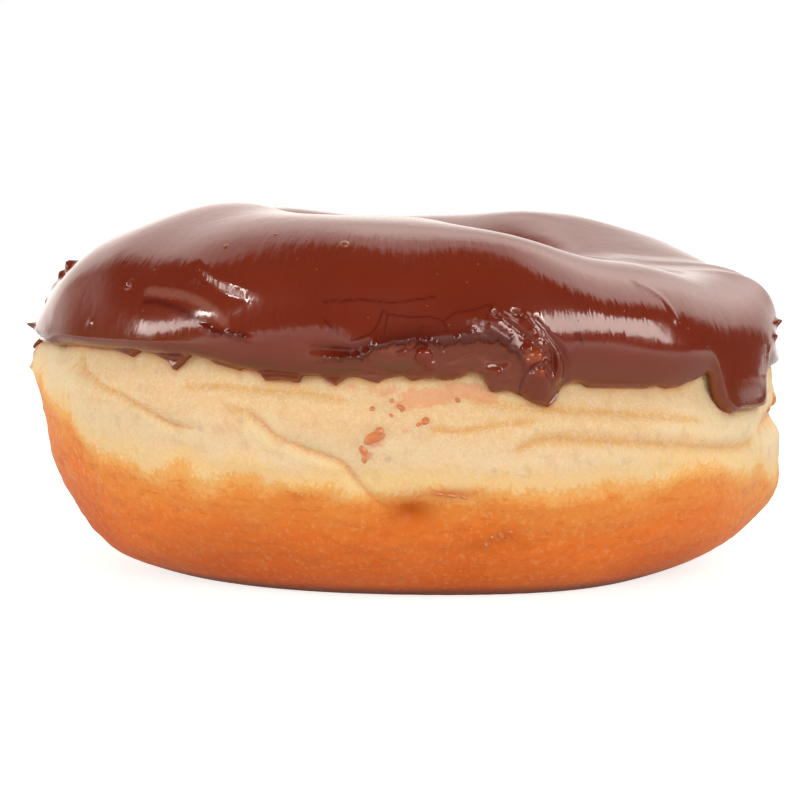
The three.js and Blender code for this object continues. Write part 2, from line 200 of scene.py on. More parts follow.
# %% The outline and the glaze's edge
def outline(azimuth, angle):
    """Radius, height, the two parts of the outward normal, and whether the point is outside the crest. The
    radius is crest + across * cos^(2/n) and the height middle + tall * sin^(2/n) for squareness n; the
    normal's parts are cos^(2 - 2/n) / across and sin^(2 - 2/n) / tall, made one long."""
    c, s = np.cos(angle), np.sin(angle)
    outside = c > 0
    crest = around(CREST_RADIUS, azimuth)
    middle = np.where(outside, around(BELLY_HEIGHT, azimuth), HOLE_WAIST)
    across = np.where(outside, around(OUTER_RADIUS, azimuth) - crest, crest - around(HOLE_RADIUS, azimuth))
    tall = np.where(s > 0, around(CREST_HEIGHT, azimuth) - middle, middle + SINK)
    n = np.where(s > 0, around(UPPER_SQUARENESS, azimuth), around(LOWER_SQUARENESS, azimuth))
    n = np.where(outside, n, INNER_SQUARENESS)
    nr, nz = power(c, 2 - 2 / n) / across, power(s, 2 - 2 / n) / tall
    length = np.hypot(nr, nz)
    radius = crest + across * power(c, 2 / n)
    height = middle + tall * power(s, 2 / n)
    return radius, height, nr / length, nz / length, outside


def angle_at_height(azimuth, height, outside=True):
    """The angle round the section at a height: the arc sine of ((height - middle) / tall)^(n/2)."""
    middle = around(BELLY_HEIGHT, azimuth) if outside else HOLE_WAIST + 0 * azimuth
    above = height > middle
    tall = np.where(above, around(CREST_HEIGHT, azimuth) - middle, middle + SINK)
    n = np.where(above, around(UPPER_SQUARENESS, azimuth), around(LOWER_SQUARENESS, azimuth))
    n = n if outside else INNER_SQUARENESS
    rise = np.arcsin(np.minimum(1, np.abs(height - middle) / tall) ** (n / 2)) * np.where(above, 1, -1)
    return rise if outside else np.pi - rise


def edge_height(azimuth, drips=DRIPS):
    """Height of the glaze's outer edge: the even edge less drop * exp(-|turn / half width|^power) for
    each drip."""
    height = around(GLAZE_EDGE, azimuth)
    for at, half, drop, steep in drips:
        height = height - drop * np.exp(-(np.abs(turn(at, np.degrees(azimuth)) / half) ** steep))
    return height


print("crest at the front: %.1f mm high" % outline(np.radians(-90.0), np.pi / 2)[1])

# %% [markdown]
# ## Relief of the dough
# Dough that rises twice has folds where its skin was tucked in, and the fold's lower side swells over the
# groove. The relief is a distance along the outline's normal, so grooves, lips, dents and the thinner place
# under the glaze simply add up. A narrow crease in each groove is finer than the solid could hold.

# %% Spots and paths on the skin
def bell(distance, width):
    """exp(-(distance / width)^2): 1 in the middle and nearly 0 two widths away."""
    return np.exp(-((distance / width) ** 2))


def faded(share, first, last=None):
    """1 along a path, faded to 0 over the first and the last share of it."""
    return smoothstep(0, first, share) * smoothstep(0, last or first, 1 - share)


def mound(at, height, across, tall, azimuth, z, radius):
    """exp(-(dx / across)^2 - (dz / tall)^2), with dx and dz the distances in mm from the middle."""
    dx = np.radians(turn(at, np.degrees(azimuth))) * radius / across
    return np.exp(-dx * dx - ((z - height) / tall) ** 2)


def near_path(path, azimuth, height, radius):
    """Distance to a path of (azimuth, height), how far a point is above it, and the share of the path passed.
    The skin is unrolled, with the arc's length as the sideways distance, and the nearest of the
    path's straight pieces counts."""
    best = np.full(np.broadcast(azimuth, height).shape, np.inf)
    above, share = np.zeros_like(best), np.zeros_like(best)
    mm = radius * np.pi / 180
    degrees = np.degrees(azimuth)
    for i, ((a0, h0), (a1, h1)) in enumerate(zip(path[:-1], path[1:])):
        px, py = turn(a0, degrees) * mm, height - h0
        dx, dy = turn(a0, a1) * mm, h1 - h0
        t = np.clip((px * dx + py * dy) / (dx * dx + dy * dy), 0, 1)
        distance = np.hypot(px - t * dx, py - t * dy)
        nearer = distance < best
        best = np.where(nearer, distance, best)
        above = np.where(nearer, py - t * dy, above)
        share = np.where(nearer, (i + t) / (len(path) - 1), share)
    return best, above, share


print("a mound one size away from its middle: %.2f of its height" % bell(1.0, 1.0))

# %% Relief of the dough
CREASE = dict(depth=0.22, width=0.22, fade=0.06)
# How far below and above the glaze's edge the folds die away.
BARE = dict(below=0.5, above=1.5)
# Wrinkles are this much wider than tall.
WRINKLE_STRETCH = 2.5
wrinkles = plane_waves(5, 40, 2.4, 7.0, 0.085)
pimples = plane_waves(9, 50, 1.0, 3.0, 0.035)


def dough_relief(azimuth, angle, fine=True):
    """Distance of the dough from the outline, and the mask of its folds' golden tint and painted shade: waves
    that die away at the table, less the glaze's thickness where glaze lies, less each groove
    exp(-(distance / width)^2), plus each lip, less the dents, plus the swells. The fine creases, wrinkles and
    pimples can be left out."""
    radius, z, _, _, outside = outline(azimuth, angle)
    x, y = radius * np.cos(azimuth), radius * np.sin(azimuth)
    calm = smoothstep(0, CALM, z)
    covered = np.where(outside, around(GLAZE_EDGE, azimuth), around(GLAZE_HOLE_EDGE, azimuth))
    thinner = smoothstep(covered - RAMP, covered, z) * (GLAZE_THICKNESS + GLAZE_GAP)
    relief = calm * dough_waves(x, y, z) - thinner
    edge = edge_height(azimuth)
    bare = (1 - smoothstep(edge - BARE["below"], edge + BARE["above"], z)) * outside
    fold_tint_and_shade = np.zeros_like(relief)
    for path, depth, width, lip, side, tint in FOLDS:
        distance, above, share = near_path(path, azimuth, z, radius)
        away = (above * side - LIP_DISTANCE * width) / width
        beside = bell(distance, LIP_SPREAD * width) * np.exp(-(away**2) / 2)
        groove = lip * beside - depth * bell(distance, width)
        relief = relief + bare * faded(share, FOLD_FADE) * groove
        crease = bare * faded(share, CREASE["fade"])
        relief = relief - fine * crease * CREASE["depth"] * bell(distance, CREASE["width"])
        fold_tint_and_shade = np.maximum(fold_tint_and_shade, crease * bell(distance, tint))
    for at, height, depth, across, tall in DENTS:
        relief = relief - outside * depth * mound(at, height, across, tall, azimuth, z, radius)
    for at, height, swell, across, tall in SWELLS:
        relief = relief + swell * mound(at, height, across, tall, azimuth, z, radius)
    if fine:
        sideways = 1 / WRINKLE_STRETCH
        relief = relief + calm * (wrinkles(sideways * x, sideways * y, z) + pimples(x, y, z))
    return relief, fold_tint_and_shade


def lay(azimuth, angle, distance):
    """Points at a distance from the outline along its normal, in mm, never below the table."""
    radius, z, nr, nz, _ = outline(azimuth, angle)
    radius = radius + nr * distance
    z = np.maximum(0, z + nz * distance)
    return np.stack([radius * np.cos(azimuth) - CENTRE[0], radius * np.sin(azimuth) - CENTRE[1], z], -1)


front = np.radians(-90.0)
front_relief = dough_relief(front, angle_at_height(front, 20.0))[0]
print("dough at the front, 20 mm up: %.2f mm off the outline" % front_relief)

# %% [markdown]
# ## The glaze's edge
# Warm glaze ends in a thick rounded lip and hangs from it in small thin teeth. The solid has the lip and its
# drips. The teeth are added here: round the back each is a small drip of its own, and at the front, where
# the camera is, the fine edge goes from point to point.

# %% The glaze's edge
# Drips as thick as the glaze. The narrow ones, and the one at the left end, are thin like the teeth.
WIDE_DRIP = 2.5
LEFT_END = -178.0
THICK_DRIPS = [drip for drip in DRIPS if drip[1] > WIDE_DRIP and drip[0] > LEFT_END]
# Teeth round the back, given as the drips are.
TEETH = [
    (8.0, 1.4, 0.7, 1.4), (27.0, 1.6, 0.8, 1.4), (52.0, 1.4, 0.8, 1.3), (66.0, 1.4, 0.6, 1.4),
    (83.0, 1.6, 0.9, 1.3), (94.0, 1.4, 0.6, 1.4), (117.0, 1.6, 1.0, 1.4), (128.0, 1.4, 0.6, 1.3),
    (148.0, 1.6, 0.8, 1.4), (171.0, 1.4, 0.8, 1.3),
]
# The fine edge at the front, tooth by tooth: azimuth and height. It is faded in over a degree at its ends.
FRONT_EDGE = [
    (-176.3, 29.2), (-157.3, 29.7), (-149.9, 29.9), (-140.8, 29.9), (-135.8, 29.2), (-134.1, 30.2),
    (-131.1, 29.8), (-127.6, 28.9), (-126.6, 28.0), (-123.6, 30.1), (-121.8, 29.8), (-119.6, 28.9),
    (-115.7, 28.2), (-115.3, 28.5), (-113.7, 28.3), (-112.3, 27.8), (-111.6, 27.1), (-109.1, 27.3),
    (-106.3, 27.0), (-105.9, 27.8), (-103.2, 27.9), (-102.0, 27.3), (-100.6, 26.8), (-99.9, 27.2),
    (-98.6, 27.8), (-97.5, 27.8), (-96.0, 27.4), (-94.3, 27.1), (-93.4, 27.6), (-90.6, 28.0),
    (-89.5, 27.3), (-88.7, 27.4), (-87.6, 27.6), (-86.1, 27.7), (-84.7, 27.4), (-83.1, 27.4),
    (-81.8, 27.9), (-80.9, 28.4), (-79.8, 28.4), (-78.8, 27.8), (-78.1, 26.7), (-77.4, 25.9),
    (-76.6, 25.9), (-75.9, 26.2), (-75.0, 26.3), (-73.6, 25.7), (-71.8, 24.7), (-69.1, 24.1),
    (-68.1, 24.7), (-67.1, 25.9), (-66.6, 26.4), (-65.0, 27.0), (-63.6, 26.9), (-62.1, 26.2),
    (-59.2, 26.0), (-52.2, 25.8), (-49.7, 26.0), (-48.2, 25.6), (-45.3, 25.7), (-42.0, 26.4),
    (-40.4, 27.3), (-39.0, 27.0), (-38.4, 25.7), (-37.9, 24.0), (-36.8, 22.5), (-34.9, 22.0),
    (-32.8, 22.3), (-28.0, 22.1), (-22.5, 21.9), (-21.2, 22.8),
]
FRONT_FROM, FRONT_TO, FRONT_FADE = -176.4, -21.4, 1.0
TOOTH_THICKNESS = 0.5
# The big drip at the right, over which the lip is narrower.
BIG_DRIP = dict(at=-29.8, half=9.0, power=6, narrower=2.8)


def toothed_edge(azimuth):
    """Height of the glaze's fine edge: the drips and teeth, and at the front straight lines from point to
    point."""
    degrees = turn(0, np.degrees(azimuth))
    at, up = np.array(FRONT_EDGE).T
    plain = edge_height(azimuth, DRIPS + TEETH)
    shown = smoothstep(FRONT_FROM - FRONT_FADE, FRONT_FROM, degrees)
    shown = shown * (1 - smoothstep(FRONT_TO, FRONT_TO + FRONT_FADE, degrees))
    return plain + (np.interp(degrees, at, up) - plain) * shown


print("points of the fine edge:", len(FRONT_EDGE), "its height at the front: %.1f mm" % toothed_edge(front))

# %% [markdown]
# ## The touched place
# At the front a finger pushed the soft glaze aside. It scraped the lip down to a wet film, left small lumps
# in it, raised a brim above it and bunched the glaze up into a wrinkled roll at its right end. Each of these
# is a short line or a spot with a height, added to the distance between the glaze's face and the dough.

# %% The scraped film
# Upper limit of the film, as (azimuth, height).
SCRAPED = [
    (-104.0, 29.6), (-101.7, 29.9), (-99.4, 30.2), (-96.5, 30.1), (-94.5, 31.5), (-92.3, 31.9),
    (-90.3, 32.2), (-88.3, 32.3), (-85.4, 32.0), (-83.8, 32.0), (-80.5, 32.3), (-78.7, 32.3),
    (-77.3, 32.2), (-75.8, 31.5), (-74.7, 30.9), (-74.0, 29.9), (-73.6, 28.6), (-73.5, 27.0),
    (-73.4, 24.0),
]
# The film goes from one azimuth to another and is faded there over some degrees. It lies a step under the
# face and deeper further down by the slope, but no deeper than at its lowest. Its upper limit is soft and
# wanders by the ragged amount times a sum of sines, given as (rate, phase, size).
FILM = dict(start=-106.0, start_fade=5.0, end=-72.9, end_fade=0.8, step=0.35, slope=0.15, lowest=6.0,
            soft=0.3, ragged=0.14)
RAGGED_SINES = ((2.1, 0, 1.0), (4.7, 1, 0.7), (9.1, 2, 0.5))
# The glaze pushed up above the film: swell, size upward, and the azimuths over which it fades in and out.
BRIM = dict(swell=0.40, tall=2.0, start=(-101, -95), end=(-72, -75))


def film_mask(azimuth, z):
    """1 where the lip was scraped to a film, and the height of the film's upper limit. The mask's own limit
    wanders about that height."""
    degrees = np.degrees(azimuth)
    at, up = np.array(SCRAPED).T
    wander = sum(size * np.sin(rate * degrees + phase) for rate, phase, size in RAGGED_SINES)
    top = np.interp(degrees, at, up)
    ragged = top + FILM["ragged"] * wander
    inside = smoothstep(0, FILM["start_fade"], turn(FILM["start"], degrees))
    inside = inside * smoothstep(0, FILM["end_fade"], turn(degrees, FILM["end"]))
    return inside * (1 - smoothstep(ragged - FILM["soft"], ragged, z)), top


print("upper limit of the film at the front: %.1f mm" % film_mask(front, 30.0)[1])

# %% Lumps and crumpled places
# Lumps and dents: azimuth, height, swell, size across and size upward. The four at -30 round off the face of
# the big drip, and the wide one at -128 narrows the highlight of the left window.
SPOTS = [
    (-77.9, 28.6, 0.5, 1.1, 0.35), (-76.0, 27.6, 0.45, 0.9, 0.35), (-171.6, 39.2, 1.3, 0.9, 0.7),
    (-172.8, 38.0, 0.8, 0.5, 0.6), (-174.5, 31.2, 1.3, 0.8, 0.4),
    (-30.0, 25.2, 0.75, 7.0, 3.2), (-30.0, 22.6, -0.88, 7.0, 1.1), (-30.0, 24.0, -0.2, 7.0, 0.8),
    (-30.0, 25.6, 0.045, 7.0, 0.6), (-128.3, 33.0, 0.30, 5.0, 4.0), (-176.0, 34.4, 0.5, 0.9, 0.8),
    (-178.0, 36.4, 0.4, 1.0, 1.0), (-11.8, 32.0, 0.9, 0.6, 0.4), (-16.0, 30.5, 0.5, 0.7, 0.5),
    (-137.4, 38.1, -0.3, 0.5, 0.35), (-137.0, 38.6, 0.15, 0.7, 0.3), (-144.4, 33.2, 0.12, 0.5, 0.5),
    (-172.0, 36.6, 0.3, 0.9, 0.9), (-8.5, 36.0, 0.9, 3.6, 3.0),
]
# Wet lumps: azimuth, height, size and the share of it that the lump stands up.
LUMPS = [
    (-119.8, 33.4, 0.50, 0.6), (-118.4, 32.9, 0.55, 0.7), (-115.7, 32.9, 0.50, 0.6),
    (-114.4, 32.6, 0.60, 0.8), (-113.2, 32.3, 0.50, 0.6), (-100.5, 30.4, 0.50, 0.7),
    (-98.7, 30.5, 0.45, 0.6), (-97.4, 30.6, 0.60, 0.8), (-96.0, 31.1, 0.60, 0.9),
    (-94.9, 31.7, 0.50, 0.7), (-101.3, 30.2, 0.35, 0.8), (-99.5, 30.2, 0.40, 0.8),
    (-95.3, 30.1, 0.35, 0.8), (-90.5, 30.9, 0.45, 0.8), (-91.3, 30.8, 0.30, 0.8),
    (-89.9, 31.5, 0.40, 1.0), (-89.4, 31.7, 0.42, 1.0), (-88.9, 32.0, 0.36, 1.0),
    (-87.7, 30.4, 1.10, 1.2), (-86.8, 29.3, 0.70, 1.4), (-87.4, 29.1, 0.50, 0.7),
    (-88.4, 32.3, 0.25, 1.0), (-87.7, 32.3, 0.30, 1.0), (-86.9, 32.3, 0.32, 1.0),
    (-86.1, 32.0, 0.30, 1.0), (-86.9, 31.7, 0.36, 0.8), (-85.3, 31.6, 0.36, 0.8),
    (-85.0, 30.8, 0.28, 0.8), (-83.2, 32.5, 0.42, 0.9), (-73.5, 31.2, 0.55, 1.0),
    (-72.2, 30.4, 0.75, 0.9), (-72.9, 29.7, 0.50, 0.9), (-71.6, 28.9, 0.60, 0.8),
    (-70.8, 29.6, 0.45, 0.9), (-72.3, 28.2, 0.42, 0.8), (-73.0, 27.2, 0.35, 0.8),
    (-77.0, 28.5, 0.50, 0.9), (-92.6, 28.9, 0.40, 0.5), (-91.4, 28.6, 0.50, 0.5),
    (-90.0, 28.9, 0.45, 0.5), (-93.8, 28.5, 0.35, 0.5),
]
# Crumpled places full of small domes: from and to which azimuth and height, how many, the largest size, the
# share of it that a dome stands up, and the seed. The smallest is this share of the largest.
CRUMPLED = [
    dict(start=-81.5, end=-75.0, low=32.5, high=35.0, count=110, largest=0.40, swell=0.30, seed=41),
    dict(start=-74.6, end=-70.0, low=30.4, high=33.4, count=26, largest=0.35, swell=0.6, seed=47),
]
SMALLEST = 0.35


def domes(azimuth, z, radius, places):
    """The highest of domes given as (azimuth, height, size, swell): swell * size * sqrt(1 - (distance /
    size)^2)."""
    relief = np.zeros(np.broadcast(azimuth, z).shape)
    degrees = np.degrees(azimuth)
    for at, up, size, swell in places:
        off = np.hypot(np.radians(turn(at, degrees)) * radius, z - up) / size
        relief = np.maximum(relief, swell * size * np.sqrt(np.clip(1 - off**2, 0, 1)))
    return relief


def scattered(place):
    """Seeded domes within a crumpled place, most of them small."""
    a, u, share = np.random.default_rng(place["seed"]).random((3, place["count"]))
    at = place["start"] + (place["end"] - place["start"]) * a
    up = place["low"] + (place["high"] - place["low"]) * u
    size = place["largest"] * (SMALLEST + (1 - SMALLEST) * share**2)
    return list(zip(at, up, size, np.full(place["count"], place["swell"])))


print("spots:", len(SPOTS), "lumps:", len(LUMPS), "small domes:", sum(place["count"] for place in CRUMPLED))

# %% [markdown]
# ## Steps, ridges and cracks
# Where glaze slid over glaze that had already set it left a step, and where it was pushed it left ridges.
# A ridge is a bell across its path. A step drops sharply on the lower side of its path and comes back slowly
# further down, so its face slants and catches the light of a window.

# %% Steps, ridges and cracks
# Steps: path, drop, the height over which the face drops, and reach. Along its path the drop goes from the
# first to the second of these shares.
SHELVES = [
    ([(-125.6, 41.9), (-123.2, 40.9), (-121.0, 40.0), (-118.6, 39.1), (-116.2, 38.4), (-113.6, 38.0),
      (-110.0, 37.8)], 0.50, 1.2, 3.0),
    ([(-131.5, 40.2), (-128.4, 39.9), (-124.5, 40.1)], 0.14, 0.7, 1.2),
]
SHELF_SHARES = (1.5, 0.6)
SHELF_FADES = (0.2, 0.3)
# Ridges, and grooves where the height is negative: path, height and width.
RIDGES = [
    ([(-104.5, 31.3), (-101.3, 31.2), (-99.4, 31.1), (-97.5, 31.0), (-95.7, 31.5), (-94.6, 32.2)],
      -0.45, 0.5),
    ([(-102.0, 30.1), (-100.2, 30.2), (-98.0, 30.3), (-96.5, 30.3), (-95.4, 30.8), (-94.4, 31.8)],
      0.45, 0.4),
    ([(-74.0, 35.2), (-72.9, 34.3), (-71.0, 32.5), (-69.5, 31.0), (-68.6, 29.6), (-68.3, 28.5),
      (-68.5, 26.6)], 0.95, 0.62),
    ([(-72.4, 35.0), (-71.4, 34.0), (-69.6, 32.3), (-68.0, 30.8), (-67.1, 29.4), (-66.9, 28.3),
      (-67.1, 26.8)], -0.45, 0.35),
    ([(-77.4, 35.3), (-75.6, 34.6), (-73.6, 33.3), (-71.8, 31.7), (-70.6, 30.6)], 0.5, 0.45),
    ([(-78.2, 35.6), (-76.5, 34.7), (-74.8, 33.7), (-73.3, 32.7), (-72.2, 31.7)], -0.5, 0.24),
    ([(-75.4, 35.6), (-73.9, 35.0), (-72.0, 33.4), (-70.3, 31.8), (-69.6, 30.6), (-69.3, 29.0),
      (-69.4, 27.6)], -0.6, 0.24),
    ([(-79.0, 34.2), (-77.0, 33.0), (-75.6, 32.0)], 0.3, 0.5),
    ([(-79.8, 31.0), (-78.4, 29.9), (-76.8, 29.6), (-75.0, 30.0)], -0.2, 0.6),
    ([(-85.0, 29.6), (-83.0, 30.0), (-81.6, 30.4), (-80.6, 31.0)], -0.22, 0.3),
    ([(-73.6, 25.6), (-73.6, 27.0), (-73.2, 28.4), (-72.0, 29.2), (-70.8, 29.0), (-69.9, 27.8),
      (-69.5, 26.2)], -0.5, 0.3),
    ([(-51.8, 38.5), (-49.6, 37.6), (-47.9, 36.3), (-47.2, 34.9), (-47.1, 33.0)], 0.14, 0.3),
]
RIDGE_FADE = 0.12
# Fine cracks in the skin of the glaze, drawn only as lines of painted shade, and their width.
CRACKS = [
    [(-93.5, 35.7), (-92.8, 35.3), (-89.7, 35.0), (-86.8, 35.0), (-85.0, 34.5), (-84.4, 33.0)],
    [(-93.5, 35.7), (-94.2, 34.1), (-95.1, 33.1), (-97.8, 32.3)],
    [(-85.0, 34.5), (-83.2, 35.5), (-81.0, 35.6), (-78.3, 36.3)],
    [(-92.8, 35.3), (-93.2, 33.5), (-93.1, 32.4)], [(-91.0, 32.6), (-89.4, 33.1), (-87.7, 33.9)],
    [(-101.7, 34.6), (-100.0, 33.2), (-99.5, 32.9)],
    [(-73.6, 25.6), (-73.6, 27.0), (-73.2, 28.4), (-72.0, 29.2), (-70.8, 29.0)],
    [(-80.8, 33.2), (-79.2, 34.3), (-77.8, 36.4)],
    [(-66.7, 35.0), (-65.9, 34.2), (-65.5, 33.2), (-64.5, 31.5)],
    [(-102.0, 36.6), (-96.5, 36.9), (-92.0, 36.6), (-86.0, 37.4)],
]
CRACK_WIDTH = 0.13
# A flat band under the bright step, where a reflection of the table is painted, and the furrow under that
# band, drawn as painted shade: path and width.
TABLE_REFLECTION = ([(-134.5, 37.5), (-131.6, 37.6), (-128.4, 37.4), (-124.2, 37.1), (-121.6, 36.5), (-118.9, 35.5),
         (-116.9, 34.3), (-115.0, 32.8)], 0.75)
TABLE_REFLECTION_FADE = 0.15
FURROW = ([(-132.0, 36.2), (-129.2, 36.3), (-124.8, 35.6), (-120.5, 34.3), (-117.9, 33.0),
           (-113.5, 32.6)], 0.4)
print("steps:", len(SHELVES), "ridges:", len(RIDGES), "cracks:", len(CRACKS))

# %% [markdown]
# ## Tints of the glaze
# Glaze that is thin lets what lies under it through: it is amber where light comes in behind it and olive
# over the pale dough. Where its skin is dusty or folded it hardly shines. Each place is a soft spot, and the
# strongest spot counts.

# %% Tints of the glaze
# Amber, olive and matt places: azimuth, height, size across, size upward and strength.
AMBER = [
    (-72.5, 30.4, 1.4, 1.1, 1.0), (-71.4, 28.6, 1.0, 0.9, 0.8), (-92.8, 31.2, 1.8, 1.0, 0.6),
    (-87.7, 30.2, 1.3, 1.0, 0.35), (-86.0, 32.0, 1.6, 0.4, 0.6), (-94.0, 28.6, 1.6, 0.5, 0.6),
    (-88.6, 28.1, 2.4, 0.4, 0.6), (-82.0, 28.6, 1.6, 0.5, 0.6), (-77.4, 28.3, 0.8, 0.4, 0.6),
    (-75.6, 31.4, 1.2, 0.4, 0.7), (-70.5, 25.2, 1.6, 0.5, 0.4),
]
OLIVE = [
    (-91.6, 29.2, 3.2, 0.7, 1.0), (-99.6, 28.8, 3.4, 0.5, 0.8), (-105.0, 28.9, 3.0, 0.5, 0.6),
    (-112.0, 29.4, 3.6, 0.5, 0.7), (-80.6, 29.0, 1.4, 0.4, 0.6), (-84.6, 28.6, 1.8, 0.4, 0.5),
    (-120.0, 30.2, 3.0, 0.4, 0.4), (-67.4, 27.6, 0.5, 1.2, 0.8),
]
MATTE = [
    (-80.4, 34.3, 1.5, 0.6, 0.8), (-78.6, 33.8, 1.6, 0.8, 1.0), (-77.0, 33.0, 1.3, 0.8, 1.0),
    (-75.8, 32.2, 1.0, 0.6, 1.0), (-77.6, 35.2, 1.6, 0.5, 0.5), (-116.0, 35.6, 3.0, 1.0, 0.3),
    (-30.0, 24.5, 6.0, 3.0, 0.6),
]


def brushed(places, azimuth, z, radius):
    """The strongest of soft spots given as (azimuth, height, size across, size upward, strength)."""
    spots = [strength * mound(at, up, across, tall, azimuth, z, radius)
             for at, up, across, tall, strength in places]
    return np.max(spots, 0)


print("amber:", len(AMBER), "olive:", len(OLIVE), "matt:", len(MATTE))

# %% [markdown]
# ## Relief of the glaze
# The glaze's face is worked out as its distance from the dough. A quarter ellipse rounds the lip over, a bead
# is added above it, and all that was listed before fades in over the lip. Below the lip the teeth keep a
# small thickness of their own down to the fine edge, which is sunk a little in the dough to hide any gap.

# %% Relief of the glaze
# Height over which the fine edge comes out of the dough, and how far it is sunk.
SEAL = dict(tall=0.4, sunk=0.15)


def glaze_lift(azimuth, angle, rise):
    """Distance of the glaze's face from the dough, how far it is scraped and how lumpy: the larger of the
    tooth's and the lip's thickness, each sqrt(1 - (1 - t)^2) of its full one with t from 0 to 1 over its
    width, plus bead and relief. The film lies under the face and the brim swells out just above it."""
    radius, z, _, _, outside = outline(azimuth, angle)
    x, y = radius * np.cos(azimuth), radius * np.sin(azimuth)
    over_edge = np.where(outside, z - edge_height(azimuth, THICK_DRIPS), rise)
    from_drip = np.abs(turn(BIG_DRIP["at"], np.degrees(azimuth)) / BIG_DRIP["half"])
    narrower = BIG_DRIP["narrower"] * np.exp(-(from_drip ** BIG_DRIP["power"]))
    t = np.clip(over_edge / (around(LIP_WIDTH, azimuth) - narrower), 0, 1)
    lip = np.sqrt(1 - (1 - t) ** 2)
    from_bead = np.maximum(0, over_edge) - BEAD["from_edge"]
    bead = t * around(BEAD_HEIGHT, azimuth) * bell(from_bead, BEAD["width"])
    relief = glaze_waves(x, y, z)
    for at, height, swell, across, tall in KNOBS + SPOTS:
        relief = relief + outside * swell * mound(at, height, across, tall, azimuth, z, radius)
    for path, drop, width, reach in SHELVES:
        distance, above, share = near_path(path, azimuth, z, radius)
        drop = drop * (SHELF_SHARES[0] - (SHELF_SHARES[0] - SHELF_SHARES[1]) * share)
        fade = faded(share, *SHELF_FADES) * bell(distance, reach)
        relief = relief - outside * fade * drop * np.clip(-above / width, 0, 1)
    for path, height, width in RIDGES:
        distance, _, share = near_path(path, azimuth, z, radius)
        relief = relief + outside * faded(share, RIDGE_FADE) * height * bell(distance, width)
    places = [LUMPS] + [scattered(place) for place in CRUMPLED]
    lumpy = outside * sum(domes(azimuth, z, radius, spots) for spots in places)
    film, top = film_mask(azimuth, z)
    film = film * outside
    relief = relief + lumpy - film * (FILM["step"] + FILM["slope"] * np.clip(top - z, 0, FILM["lowest"]))
    degrees = turn(0, np.degrees(azimuth))
    brim = outside * smoothstep(*BRIM["start"], degrees) * smoothstep(*BRIM["end"], degrees)
    relief = relief + BRIM["swell"] * brim * (1 - film) * bell(z - top, BRIM["tall"])
    thick = lip * GLAZE_THICKNESS + bead + t * relief
    small = np.clip(rise / TOOTH_THICKNESS, 0, 1)
    tooth = TOOTH_THICKNESS * np.sqrt(1 - (1 - small) ** 2)
    sealed = smoothstep(0, SEAL["tall"], rise)
    return np.maximum(tooth, thick) + sealed * GLAZE_GAP - (1 - sealed) * SEAL["sunk"], film, lumpy


crest_lift = glaze_lift(front, np.pi / 2, 20.0)[0]
print("glaze on the crest at the front: %.1f mm off the dough" % crest_lift)

# %% [markdown]
# ## Two skins
# Each skin is a grid of points wound round the ring and round the section, so it closes on itself both ways.
# The columns stand closer at the front, where the camera is and the relief is finest. Along with its points
# each skin keeps a few marks, one number a point, which the materials read later.

# %% Build the skins
# Azimuths from and to which the columns stand closer, and the turn over which that fades.
FRONT_SIDE = (-176, -4)
TOUCHED = (-104, -66)
CLOSER_FADE = 6


def spread(count, places):
    """Azimuths round the ring in radians, closer together in places given as (start, end, extra). The
    density is 1 plus the extra of each place, faded over its ends, and the azimuths are where its
    running sum reaches even shares."""
    degrees = np.linspace(-180, 180, 20 * 360 + 1)
    density = np.ones_like(degrees)
    for start, end, extra in places:
        started = smoothstep(start - CLOSER_FADE, start, degrees)
        density += extra * started * (1 - smoothstep(end, end + CLOSER_FADE, degrees))
    total = np.concatenate([[0], np.cumsum((density[1:] + density[:-1]) / 2)])
    return np.radians(np.interp(np.arange(count) / count * total[-1], total, degrees))


def ring_object(name, grid, marks):
    """An object from a grid of columns x rows points in mm. Each point is joined to its neighbours, the last
    column to the first and the last row to the first. It is turned outward if its volume, the sum of the
    triple products of its faces' corners, comes out negative."""
    columns, rows = grid.shape[:2]
    i, k = np.arange(columns)[:, None], np.arange(rows)[None, :]
    i1, k1 = (i + 1) % columns, (k + 1) % rows
    faces = np.stack(np.broadcast_arrays(i * rows + k, i1 * rows + k, i1 * rows + k1, i * rows + k1), -1)
    faces = faces.reshape(-1, 4)
    points = grid.reshape(-1, 3) / 1000
    a, b, c, d = (points[faces[:, j]] for j in range(4))
    volume = (np.einsum("ij,ij->i", a, np.cross(b, c)) + np.einsum("ij,ij->i", a, np.cross(c, d))).sum() / 6
    if volume < 0:
        faces = faces[:, ::-1]
    mesh = bpy.data.meshes.new(name)
    mesh.vertices.add(len(points))
    mesh.vertices.foreach_set("co", points.astype(np.float32).ravel())
    mesh.loops.add(faces.size)
    mesh.loops.foreach_set("vertex_index", faces.astype(np.int32).ravel())
    mesh.polygons.add(len(faces))
    mesh.polygons.foreach_set("loop_start", np.arange(0, faces.size, 4, dtype=np.int32))
    mesh.update(calc_edges=True)
    mesh.shade_smooth()
    for label, values in marks.items():
        kind = "FLOAT_VECTOR" if values.ndim == 3 else "FLOAT"
        layer = mesh.attributes.new(label, kind, "POINT")
        layer.data.foreach_set("vector" if values.ndim == 3 else "value", values.astype(np.float32).ravel())
    obj = bpy.data.objects.new(name, mesh)
    bpy.context.scene.collection.objects.link(obj)
    print(name, "faces:", len(faces), "volume: %.1f cm3" % (abs(volume) * 1e6), "valid:", not mesh.validate())
    return obj


def steps(start, end, count):
    """count even steps from start towards end, without the end, as a new last axis."""
    return start[..., None] + (end - start)[..., None] * np.arange(count) / count


print("three even steps from 0 to 1:", steps(np.zeros(1), np.ones(1), 3)[0].round(2))

# %% [markdown]
# The dough's colour follows where the oil stood, so its main mark is the height below the line between the
# pale band and the crust. Other marks say where the skin is folded, for a golden tint that is partly painted
# shade, where chocolate was wiped on it, where it is wet, and where the glaze's fine edge stains the dough
# and painted shade lies under that edge.

